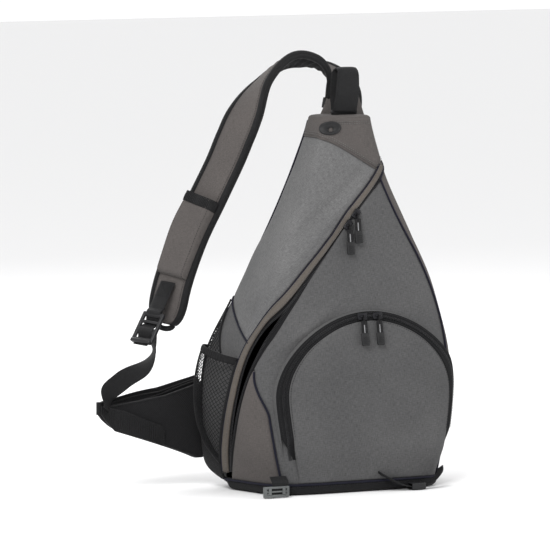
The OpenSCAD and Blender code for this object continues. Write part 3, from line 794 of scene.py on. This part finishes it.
def front_pocket():
    t = np.linspace(-90 - ARCH_Z + 15, 0, 111)
    ls, lz = arch(t, 0.875)
    rise = 1.8 + (POCKET_RISE - 0.8) * smooth((lz - 14) / 46)
    body_panel("pocket_panel", seam(ls, lz), seam(*arch(-t, 0.875)), ["grey_painted_shade", "lining"],
               100, rise[:, None], 1.2, 4.0, 0.8, 2.0)
    a = np.linspace(-ARCH_END, ARCH_END, 260)

    def arch_band(name, k0, k1, lift0, lift1, mats, slot, cols=8, crown=0.0):
        """Band along the arch that narrows and sinks towards its two ends."""
        A, K = np.meshgrid(a, np.linspace(k0, k1, cols + 1), indexing="ij")
        close = smooth((ARCH_END - np.abs(A)) / ARCH_FADE)
        s, z = arch(A[:, ::-1], (k0 + (K - k0) * (0.3 + 0.7 * close))[:, ::-1])
        f = np.linspace(1, 0, cols + 1)[None]
        d = 0.9 + (lift1 * f + lift0 * (1 - f) + crown * np.sin(math.pi * f) - 0.9) * close
        d = d + crumple(surf(s, z), 0.3)
        place(slab(name, on_skin(s, z, d), on_skin(s, z, d - 1.0), mats), "bag", slot, name)

    arch_band("pocket_gusset", 0.985, 1.003, POCKET_RISE - 0.6, 0.8, ["grey_painted_shade", "lining"], "grey_fabric")
    top = POCKET_RISE - 0.3
    arch_band("pocket_zip_tape", 0.872, 0.985, top, top, ["tape"], "webbing", 14, 0.6)
    s, z = arch(a, 0.928)
    src = on_skin(s, z, 1.2 + (POCKET_RISE - 0.6) * smooth((ARCH_END - np.abs(a)) / ARCH_FADE))
    p = resample(src, 1.7)
    coil("pocket_zip_coil", p, outward(s, z)[nearest(p, src)], (2.5, 0.64, 0.85))
    for name, k in (("in", 0.862), ("tape_in", 0.893), ("tape_out", 0.965)):
        seam_stitches("pocket_stitches_" + name, *arch(a[24:-24], k), POCKET_RISE + 0.6, ("thread_dark",))
    for name, sg in (("left", -1), ("right", 1)):
        m = frame_at(*arch(sg * 5.6, 0.93), POCKET_RISE + 0.4)
        slider("pocket_zip_slider_" + name, m, 90)
        pull("pocket_pull_" + name, m)


MAIN_SLIDER_Z = {"upper": 355.0, "lower": 341.0}
MAIN_TURN = -38.0


def main_sliders():
    for name, z in MAIN_SLIDER_Z.items():
        m = frame_at(cover_s(z) + 0.02, z, 2.2)
        slider("main_zip_slider_" + name, m, MAIN_TURN)
        pull("main_zip_pull_" + name, m)


# ---- yoke fittings ----
PORT_S, PORT_Z = 1.12, 466.0


def earphone_port():
    """Oval rubber port, turned from its rim in to its round hole, lying on the yoke."""
    n = 72
    a = np.linspace(0, 2 * math.pi, n, endpoint=False)

    def oval(grow, h):
        return np.stack([(14.3 + grow) * np.cos(a), (8.8 + grow) * np.sin(a), np.full(n, h)], -1)

    def hole(h):
        return np.stack([3.0 * np.cos(a), -2 + 3.0 * np.sin(a), np.full(n, h)], -1)

    rim = ((0, -0.4), (0, 1.0), (-0.5, 1.9), (-1.3, 2.3), (-2.4, 2.0), (-3.2, 1.2), (-4.2, 1.1))
    g = np.stack([oval(*p) for p in rim] + [hole(h) for h in (1.3, 1.1, -0.6)])
    verts = on_skin(PORT_S + g[..., 0] / 68.0, PORT_Z + g[..., 1], g[..., 2] + 1.4).reshape(-1, 3)
    last = (len(g) - 1) * n
    faces = [[i + j, i + (j + 1) % n, i + n + (j + 1) % n, i + n + j]
             for i in range(0, last, n) for j in range(n)]
    faces += [[last + j, last + (j + 1) % n, (j + 1) % n, j] for j in range(n)]
    place(make("earphone_port", verts, faces, ["rubber"]), "bag", "rubber", "earphone_port")


def band(route, across, width, thick, crown=0.0):
    """Both faces of a strip along a route, with a direction across it; crown swells its middle."""
    route = np.asarray(route, float)
    across = np.broadcast_to(np.asarray(across, float), route.shape)
    t = unit(np.gradient(route, axis=0))
    w = unit(across - t * (across * t).sum(-1, keepdims=True))
    n = np.cross(w, t)
    k = np.sin(np.linspace(-1, 1, 11) * math.pi / 2)
    width = np.broadcast_to(np.asarray(width, float), len(route))
    flat = w[:, None] * (k[None] * width[:, None] / 2)[..., None]
    swell = np.maximum(thick / 2 * np.sqrt(np.maximum(1 - np.abs(k) ** 6, 0)), 0.15)
    outer, inner = (route[:, None] + flat + n[:, None] * (sign * (swell + puff * (1 - k**2)))[None, :, None]
                    for sign, puff in ((1, crown), (-1, crown * 0.6)))
    return outer, inner, n


def strip(name, route, across, width, thick, mats=("webbing",), crown=0.0):
    return slab(name, *band(route, across, width, thick, crown)[:2], mats)


HANDLE_X, HANDLE_Y, HANDLE_TOP, HANDLE_R = 6.5, -11.0, 542.0, 8.0


def grab_handle():
    """Loop of webbing on a rolled foot, its legs closing towards the yoke."""
    foot, turn = BODY_H + 3.8, HANDLE_TOP - HANDLE_R
    h = np.linspace(foot, turn, 16)
    leg = 1.9 + (HANDLE_R - 1.9) * np.minimum(1, (h - foot) / 24)
    a = np.linspace(0.12, math.pi - 0.12, 22)
    y = np.concatenate([-leg, -HANDLE_R * np.cos(a), leg[::-1]])
    z = np.concatenate([h, turn + HANDLE_R * np.sin(a), h[::-1]])
    lean = np.sin(math.pi * np.linspace(0, 1, len(y)))
    route = np.stack([HANDLE_X + 2.5 * lean, HANDLE_Y + y, z], -1)
    outer, inner, n = band(route, (1, 0, 0), 35.0 - 7.0 * lean**3, 3.4, 0.3)
    seat = [(HANDLE_X + x, HANDLE_Y, foot) for x in (-17.6, 0, 17.6)]
    ob = join("grab_handle", [slab("grab_handle", outer, inner, ["webbing"]),
                              tube("grab_handle", seat, 3.3, ["webbing"], 20)])
    place(ob, "grab_handle", "webbing", "grab_handle")
    for j, f in enumerate((1, 9)):
        stitches = stitch_line("handle_stitches_%d" % j, outer[:, f], n, ("thread_dark",))
        place(stitches, "grab_handle", "webbing")


# ---- the sling: strap, hardware and wing ----
STRAP = [
    ((28, 34, 487), (1, 0.1, 0)), ((29, 36, 509), (1, 0.25, 0)), ((13, 41, 534), (0.75, 0.65, -0.1)),
    ((-15, 44, 549), (0.4, 0.9, -0.25)), ((-48, 46, 549), (0.2, 0.94, -0.3)),
    ((-79, 50, 523), (0.1, 0.97, -0.2)), ((-102, 56, 482), (-0.33, 0.94, 0)),
    ((-115, 60, 452), (-0.4, 0.92, 0)), ((-129, 64, 418), (-0.4, 0.92, 0)),
    ((-152, 68, 372), (-0.42, 0.9, 0)), ((-177, 72, 322), (-0.42, 0.9, 0)),
    ((-198, 75, 265), (-0.42, 0.9, 0)), ((-209, 77, 213), (-0.42, 0.9, 0)),
]
STRAP_W = 58.0
STRAP_T = 10.0


def strap_at(t):
    mid = knot([p[0] for p in STRAP], t)
    across = knot([p[1] for p in STRAP], t)
    tan = unit(np.gradient(mid, axis=0))
    w = unit(across - tan * (across * tan).sum(-1, keepdims=True))
    return mid, w, np.cross(w, tan), tan


def strap_width(t):
    """Full width, rounded off at the lower end."""
    end = np.clip((t - 11.3) / 0.7, 0, 1)
    return STRAP_W * (1 - 0.42 * end**2.4)


def sling_piece(ob, slot, *nodes):
    stands_for(ob, nodes)
    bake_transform(ob)


def strap():
    """Padded strap in three layers with bound and stitched edges."""
    t = np.linspace(0, 12, 261)
    mid, w, n, tan = strap_at(t)
    width = strap_width(t)
    k = np.sin(np.linspace(-1, 1, 33) * math.pi / 2)
    flex = np.exp(-((t - 3.6) / 1.5) ** 2)
    wrinkle = 1.5 * flex[:, None] * np.sin(t[:, None] * 21 + 1.5 * k[None] + 0.8 * np.sin(5 * k)[None])
    rim = 1 - np.abs(k) ** 8
    ends = np.clip(np.minimum(t, 12 - t) / 0.12, 0.25, 1)[:, None]

    def face(sign, crown, off):
        h = (off + crown * (1 - k[None] ** 2)) * rim[None]
        pts = mid[:, None] + w[:, None] * (k[None] * width[:, None] / 2 * 0.93)[..., None]
        bumps = crumple(pts, 0.45) + (wrinkle * (1.0 if sign < 0 else 0.35))
        return pts + n[:, None] * (sign * (h * ends + bumps * rim[None]))[..., None]

    core, core_low = face(1, 0.6, STRAP_T / 2 - 2.0), face(-1, 0.6, STRAP_T / 2 - 2.0)
    sling_piece(slab("strap_outer", face(1, 1.3, STRAP_T / 2 - 0.6), core, ["warm"]),
                "warm_grey_fabric", "strap_outer")
    pad = slab("strap_foam", core - n[:, None] * 0.05, core_low + n[:, None] * 0.05, ["foam"])
    sling_piece(pad, "foam", "strap_foam")
    sling_piece(slab("strap_lining", core_low, face(-1, 1.3, STRAP_T / 2 - 0.6), ["spacer"]),
                "black_mesh", "strap_lining")
    a = np.linspace(0, 2 * math.pi, 17)[None, :, None]
    wide, tall = (np.sign(v) * np.abs(v) ** 0.8 * r
                  for v, r in ((np.cos(a), 4.2), (np.sin(a), STRAP_T / 2 + 0.55)))
    edges = []
    for sg in (-1, 1):
        heart = (mid + w * (sg * (width / 2 - 3.4))[:, None])[:, None]
        g = heart + w[:, None] * wide * sg + n[:, None] * tall
        if sg < 0:
            g = g[:, ::-1]
        edges.append(slab("strap_binding", g, heart + (g - heart) * 0.72, ["webbing"]))
    sling_piece(join("strap_binding", edges), "webbing", "strap_binding")
    for name, sg in (("near", -1), ("far", 1)):
        line = mid + w * sg * (width / 2 - 8.2)[:, None] + n * (STRAP_T / 2 + 0.35)
        sling_piece(stitch_line("strap_stitches_" + name, line[4:-6], n[4:-6], ("thread_dark",)),
                    "warm_grey_fabric")
    a = np.linspace(-math.pi / 2, math.pi / 2, 15)[:, None]
    tip = mid[-1] + w[-1] * (width[-1] / 2 - 3) * np.sin(a) + tan[-1] * 6.0 * np.cos(a)
    place(tube("strap_tip_binding", tip, 3.6, ["webbing"], 12), "sling", "webbing")
    rise = np.linspace(0, 1, 24)
    root = np.stack([24.0 + 4.5 * rise, 27.0 + 3.2 * rise**2, BODY_H - 26 + rise * (534 - BODY_H)], -1)
    wide = 76.0 - 30.0 * np.clip((rise - 0.35) / 0.65, 0, 1) ** 0.8
    place(strip("strap_root", root, (1.0, 0.1, 0), wide, 3.0, ["warm"], 1.0), "bag", "warm_grey_fabric")


POCKET_FROM, POCKET_TO = 9.0, 10.85


def strap_pocket():
    """Phone pocket on the strap: a raised pouch, gathered at its ribbed trim."""
    mid, w, n, _ = strap_at(np.linspace(POCKET_FROM, POCKET_TO, 71))
    v = np.linspace(0, 1, 71)[:, None]
    k = np.linspace(-1, 1, 41)
    side, foot = (np.sqrt(1 - (1 - np.clip(e, 0, 1)) ** 2) for e in ((1 - np.abs(k)) / 0.2, (1 - v) / 0.07))
    lift = 6.2 + 9.0 * side[None] * foot + 1.4 * np.exp(-((v - 0.45) / 0.3) ** 2) * side[None]
    pts = mid[:, None] + w[:, None] * (k[None] * (26.5 - 2.5 * v**3))[..., None]
    bump = crumple(pts, 0.7) + 0.6 * np.sin(k[None] * 26) * np.exp(-v / 0.12)
    outer = pts + n[:, None] * (lift + bump * side[None] * foot)[..., None]
    ob = slab("strap_pocket", outer, outer - n[:, None] * 1.2, ["warm", "lining"])
    place(ob, "sling", "grey_fabric", "strap_pocket")
    for j in (3, 37):
        stitches = stitch_line("strap_pocket_stitches_%d" % j, outer[6:, j], n[6:], ("thread_dark",))
        place(stitches, "sling", "webbing")
    mid, w, n, _ = strap_at(np.linspace(POCKET_FROM - 0.02, POCKET_FROM + 0.24, 9))
    roll = np.sin(np.linspace(0, math.pi, 9))[:, None] * 0.9
    lift = 6.6 + roll + (10.0 + 0.55 * np.sin(k[None] * 60)) * side[None]
    outer = mid[:, None] + w[:, None] * (k[None] * 26.9)[..., None] + n[:, None] * lift[..., None]
    ob = slab("strap_pocket_trim", outer, outer - n[:, None] * 2.2, ["webbing"])
    place(ob, "sling", "webbing", "strap_pocket_trim")


LOCK = (-239.0, 64.0, 211.0)
LOCK_UP, LOCK_ACROSS = (34, 9, 55), (0.4, -0.92, 0)


def lock_matrix():
    """The ladder lock's axes: across the webbing, into the strap, up along the webbing."""
    up = Vector(LOCK_UP).normalized()
    e = (Vector(LOCK_ACROSS) - up * up.dot(Vector(LOCK_ACROSS))).normalized()
    return Matrix.Translation(Vector(LOCK) * MM) @ Matrix((e, up.cross(e), up)).transposed().to_4x4()


def to_lock(points):
    m = lock_matrix()
    return np.array([np.array(m @ (Vector(p) * MM)) / MM for p in points])


def ladder_lock():
    """Ladder lock with the webbing woven through it and the strap's anchor webbing."""
    m = lock_matrix()
    across, facing = (np.array(m.to_3x3() @ Vector(v)) for v in ((1, 0, 0), (0, -1, 0)))
    holes = [((27, 12, 7), (0, 0, z + 3.5)) for z in (-16, -2, 9)]
    parts = [block("ladder_lock", (36, 5, 43), (0, 0, -0.5), ["plastic"], 1.6, holes),
             block("lock_lip", (33, 7.0, 5), (0, -1.6, -21.5), ["plastic"], 1.5)]
    parts += [block("lock_tooth", (1.4, 1.8, 4.2), (x, -2.8, -4.4), ["plastic"], 0.4)
              for x in range(-11, 12, 3)]
    ob = join("ladder_lock", parts)
    ob.data.transform(m)
    place(ob, "sling", "hardware_plastic", "ladder_lock")
    z = np.linspace(30, -26, 60)
    y = (0.4 + 3.4 * np.sin((z - 2) / 13.0 * math.pi)) * np.where(z > -20, 1.0, 0.4)
    place(strip("lock_webbing", to_lock(zip(0 * z, y, z)), across, 24.5, 1.7), "sling", "webbing")
    z = np.linspace(66, 14, 40)
    route = to_lock(zip(0 * z, -1.0 + 0.5 * np.sin(z / 14.0), z))
    place(strip("strap_anchor_webbing", route, across, 25.0, 2.0), "sling", "webbing", "strap_anchor_webbing")
    box = [(-9, 63), (9, 63), (9, 45), (-9, 45), (-9, 63), (9, 45), (9, 63), (-9, 45)]
    stitches = stitch_line("anchor_box_stitches", to_lock([(x, -2.6, z) for x, z in box]), facing,
                           ("thread_dark",), 2.6)
    place(stitches, "sling", "webbing")


ADJUSTER = [
    ((-236, 67, 205), (-0.36, 0.93, 0.07)), ((-228, 73, 187), (0.2, 0.95, 0)),
    ((-227, 74, 174), (0.3, 0.95, 0.1)),
    ((-243, 75, 156), (0, 0.75, 0.65)), ((-272, 75, 142), (-0.2, 0.4, 0.9)),
    ((-295, 69, 127), (-0.3, 0.1, 0.95)), ((-301, 60, 108), (-0.2, 0, 1)),
]


def adjuster():
    t = np.linspace(0, 6, 110)
    mid = knot([p[0] for p in ADJUSTER], t)
    across = knot([p[1] for p in ADJUSTER], t)
    mid = mid + unit(across) * (0.5 * np.sin(t * 4))[:, None]
    place(strip("adjuster_webbing", mid, across, 25.0, 1.8), "sling", "webbing", "adjuster_webbing")


WING_X, WING_TIP = -158.0, -308.0
WING_STATIONS = [158, 178, 214, 246, 279, 300, 306]
WING_MEET = 72.0


def wing_low(x):
    """Lower edge of the wing, rising to its tip."""
    rise = 38 + 40 * (np.clip(-166 - x, 0, 200) / 114) ** 0.9
    return np.where(x > -280, rise, np.interp(x, [-309, -300, -290, -280], [104, 93, 85, 79.5]))


def wing_meet(x):
    """0 near the bag, 1 where the wing's layers come together."""
    return np.clip((-x - 215) / 88, 0, 1) ** 1.3


def wing_belly(x):
    """1 in the middle of the wing, 0 at its two ends."""
    return np.sin(math.pi * np.clip((-x - 158) / 150, 0, 1)) ** 0.7


def wing_piece(ob, slot, *nodes):
    stands_for(ob, nodes)
    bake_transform(ob)


def wing_sheet(name, y, top, lift, mats, wave, thick, cut_low=0.0, seed=0.0, puff=0.0):
    """One layer of the wing; gives the line along its top."""
    x = np.linspace(WING_X, WING_TIP + 2, 70)
    v = np.linspace(0, 1, 41)[:, None]
    Z = (wing_low(x) + cut_low)[None] * (1 - v) + np.interp(-x, WING_STATIONS, top)[None] * v
    X = np.broadcast_to(x[None], Z.shape)
    ripple = wave * v**2 * np.sin(X / 15.0 + seed + 1.2 * np.sin(X / 31.0 + seed))
    Y = y + (WING_MEET - y) * 0.85 * wing_meet(X) + crumple(np.stack([X, y + 0 * X, Z], -1), 0.5)
    Y = Y + (ripple - puff * np.sin(math.pi * v) ** 0.8) * wing_belly(X)
    outer = np.stack([X, Y, Z + lift * v**3 * np.sin(X / 21.0 + 2 * seed)], -1)
    inner = outer + [0, thick, 0]
    wing_piece(slab(name, outer[:, ::-1], inner[:, ::-1], mats), "black_fabric", name)
    return outer[-1]


def wing():
    """Four layers, back to front, three with a hem along the top, and a rolled edge below."""
    plain, meshed = ["black"], ["spacer", "black"]
    for name, y, top, hem, *shape in (
            ("wing_back", 88, [143, 138, 129, 125, 120, 117, 115], 0, 0.5, meshed, 0.8, 4.0),
            ("wing_divider_rear", 83.0, [140, 135, 125, 120, 115, 112, 110], 1.1, 1.0, plain, 1.4, 0.9, 4.0, 0.6),
            ("wing_divider_front", 77.5, [138, 132, 121, 116, 112, 109, 107], 1.1, 1.0, plain, 2.0, 0.9, 4.0, 2.1),
            ("wing_pouch", 67.5, [136, 130, 119, 114, 111, 109, 107], 1.8, 0.8, meshed, 0.6, 1.6, 0.0, 0.0, 4.5)):
        line = wing_sheet(name, y, top, *shape)
        if name == "wing_pouch":
            line = line + [0, 0.8, 0]
        if hem:
            wing_piece(tube(name + "_hem", resample(line, 3), hem, ["webbing"]), "webbing")
    x = np.linspace(WING_X, WING_TIP + 2, 80)
    a = np.linspace(0, 2 * math.pi, 13)[None]
    heart = np.stack([x, 79.5 - 5.5 * wing_meet(x), wing_low(x) + 1.0], -1)[:, None]
    y, z = (13.0 - 9.0 * wing_meet(x))[:, None] * np.cos(a), 2.6 * np.sin(a) + 0 * x[:, None]
    ring = heart + np.stack([0 * y, y, z], -1)
    wing_piece(slab("wing_edge", ring, heart + (ring - heart) * 0.8, ["black"]), "black_fabric")
    tip = [(-305.0, 73.5, z) for z in np.linspace(100, 116, 14)]
    place(tube("wing_tip_binding", tip, 4.2, ["webbing"], 10), "sling", "webbing")


def wing_band():
    """Ribbed band along the lower front of the wing, with a rounded inner end."""
    x = np.linspace(-306, -218, 170)
    high = np.interp(x, [-306, -274, -243, -224, -220, -218], [112, 104.5, 91, 84, 81, 76])
    low = np.interp(x, [-306, -300, -288, -243, -222, -218], [101, 92, 79, 65.5, 57, 60])
    v = np.linspace(0, 1, 22)[:, None]
    Z = low[None] * (1 - v) + high[None] * v
    X = np.broadcast_to(x[None], Z.shape)
    ribs = 0.5 * np.sin(2 * math.pi * X / 3.1) * np.sin(math.pi * np.clip(v * 1.1 - 0.05, 0, 1)) ** 0.4
    Y = 62.6 + 3.0 * np.clip((-X - 250) / 55, 0, 1) - 3.4 * wing_belly(X) - ribs - 0.6 * np.sin(X / 17.0)
    outer, inner = np.stack([X, Y, Z], -1), np.stack([X, Y + 2.4 + ribs, Z], -1)
    place(slab("wing_band", outer, inner, ["webbing"]), "sling", "webbing", "wing_band")
    r = np.concatenate([outer[0, 2:-2], outer[2:-2, -2], outer[-2, -2:2:-1]])
    place(stitch_line("wing_band_stitches", r, (0, -1.0, 0), ("thread_dark",)), "sling", "webbing")


# ---- mesh bottle pocket ----
MESH_OUT = 26.0


def mesh_point(u, v, d=0.0):
    """A point of the pocket: u from its back edge to the flap's binding, v up to its rim."""
    u, v = np.broadcast_arrays(np.asarray(u, float), np.asarray(v, float))
    near = 36 + 138 * v
    front = cover_s(near) - binding_s(near) - 0.012
    s = 0.11 + (front - 0.11) * u
    z = (84 - 48 * u) * (1 - v) + (186 - 12 * u) * v
    fill = np.sin(math.pi / 2 * np.minimum(1, v * 1.6 + 0.05)) ** 0.7
    bulge = 1.8 + MESH_OUT * np.sin(math.pi * np.clip(u, 0, 1)) ** 0.8 * fill
    sag = 1.2 * np.sin(v * 9 + 5 * u) * np.sin(math.pi * u)
    return surf(s, z) + outward(s, z) * (bulge + sag + d)[..., None]


def net(name, point, R, C, cord):
    """Net of diamonds whose cords cross on a surface point(u, v)."""
    V, U = np.meshgrid(np.linspace(0, 1, R + 1), np.linspace(0, 1, C + 1), indexing="ij")
    U = np.clip(U + (np.arange(R + 1) % 2 == 1)[:, None] * 0.5 / C, 0, 1)
    p = point(U, V)
    idx = np.arange((R + 1) * (C + 1)).reshape(R + 1, C + 1)
    faces = []
    for i in range(R - 1):
        odd = i % 2
        for j in range(1 - odd, C + 1 - odd):
            faces.append([idx[i, j], idx[i + 1, j + odd], idx[i + 2, j], idx[i + 1, j - 1 + odd]])
    ob = make(name, p.reshape(-1, 3), faces, ["net"], grid_uv(p).reshape(-1, 2))
    mod = ob.modifiers.new("net", "WIREFRAME")
    mod.thickness, mod.use_replace, mod.use_even_offset = cord * MM, True, False
    apply_all(ob)
    return ob


def mesh_gusset(u, v):
    """Net at the back of the pocket, rising to a point at the side seam."""
    s = LEFT_SEAM + 0.01 + (0.30 - 0.29 * v) * u * (1 - v) ** 0.3
    z = 178 + 66 * v + 0 * u
    return surf(s, z) + outward(s, z) * (2.0 + 3.0 * np.sin(math.pi * u) * (1 - v))[..., None]


def mesh_pocket():
    """Knitted net pocket with a gathered rim, its back gusset and its bound edges."""
    net_face = net("mesh_pocket", lambda u, v: mesh_point(u, v * 0.955), 44, 18, 1.0)
    place(net_face, "bag", "black_mesh", "mesh_pocket")
    place(net("mesh_gusset", mesh_gusset, 24, 7, 1.0), "bag", "black_mesh")
    edges = []
    for name, u in (("back", 0.0), ("front", 1.0)):
        edges += [("mesh_edge_" + name, mesh_point(u, np.linspace(0, 0.97, 60)), 1.8),
                  ("gusset_edge_" + name, mesh_gusset(u, np.linspace(0, 0.985, 40)), 1.3)]
    edges.append(("mesh_edge_low", mesh_point(np.linspace(0, 1, 40), 0.0), 2.2))
    for name, path, r in edges:
        place(tube(name, path, r, ["webbing"]), "bag", "webbing")
    V, U = np.meshgrid(np.linspace(0.935, 1.0, 9), np.linspace(0, 1, 90), indexing="ij")
    gather = 0.5 * np.sin(U * 150) + 1.1 * np.sin((V - 0.935) / 0.065 * math.pi)
    ob = slab("mesh_pocket_band", mesh_point(U, V, gather), mesh_point(U, V, gather - 2.0), ["webbing"])
    place(ob, "bag", "webbing", "mesh_pocket_band")


# ---- lash pieces at the foot ----
LASH_LEFT_X, LASH_LEFT_Y, LASH_RIGHT_Y = -127, -88.0, -91.5


def lash_left():
    drop = [(7.5, 26), (1.0, 20), (0.6, 12), (0.0, 7)]
    route = resample([(LASH_LEFT_X, LASH_LEFT_Y + y, z) for y, z in drop], 1.2)
    ob = strip("lash_webbing_left", route, (1, 0, 0), 24.0, 2.0)
    place(ob, "lash_left", "webbing", "lash_webbing_left")
    x, y = LASH_LEFT_X - 6.0, LASH_LEFT_Y + 0.5
    holes = [((28, 10, 2.8), (x, y, z)) for z in (5.6, 10.4)]
    parts = [block("lash_buckle_left", (36, 5.4, 14), (x, y, 7.6), ["buckle"], 1.5, holes)]
    parts += [block("lash_prong", (4.0, 3.2, 9.0), (x + k, y - 2.2, 8.4), ["buckle"], 1.0) for k in (-10, 10)]
    place(join("lash_buckle_left", parts), "lash_left", "hardware_plastic", "lash_buckle_left")


def lash_right():
    y = LASH_RIGHT_Y
    sag = [(18, y + 7.5, 24), (26, y + 1.5, 18.5), (44, y, 9), (60, y, 4.4), (78, y, 3.6), (94, y, 10),
           (105, y + 1.5, 19.5), (109, y + 7.5, 25)]
    route = knot(sag, np.linspace(0, len(sag) - 1, 80))
    ob = strip("lash_webbing_right", route, (0, 1, 0), 12.0, 2.0)
    place(ob, "lash_right", "webbing", "lash_webbing_right")
    ob = block("lash_slider_right", (20, 16, 8.4), (70, y, 4.6), ["plastic"], 1.3,
               [((26, 12.6, 5.8), (70, y, 4.7))])
    place(ob, "lash_right", "hardware_plastic", "lash_slider_right")


body_panels()
top_yoke()
pipings()
back()
base()
main_zip()
front_pocket()
main_sliders()
earphone_port()
grab_handle()
strap()
strap_pocket()
ladder_lock()
adjuster()
wing()
wing_band()
mesh_pocket()
lash_left()
lash_right()

# the CAD pieces that stay: only the stiffening board inside the base
board = bpy.data.objects["base_board"].data
board.materials.clear()
board.materials.append(M["board"])
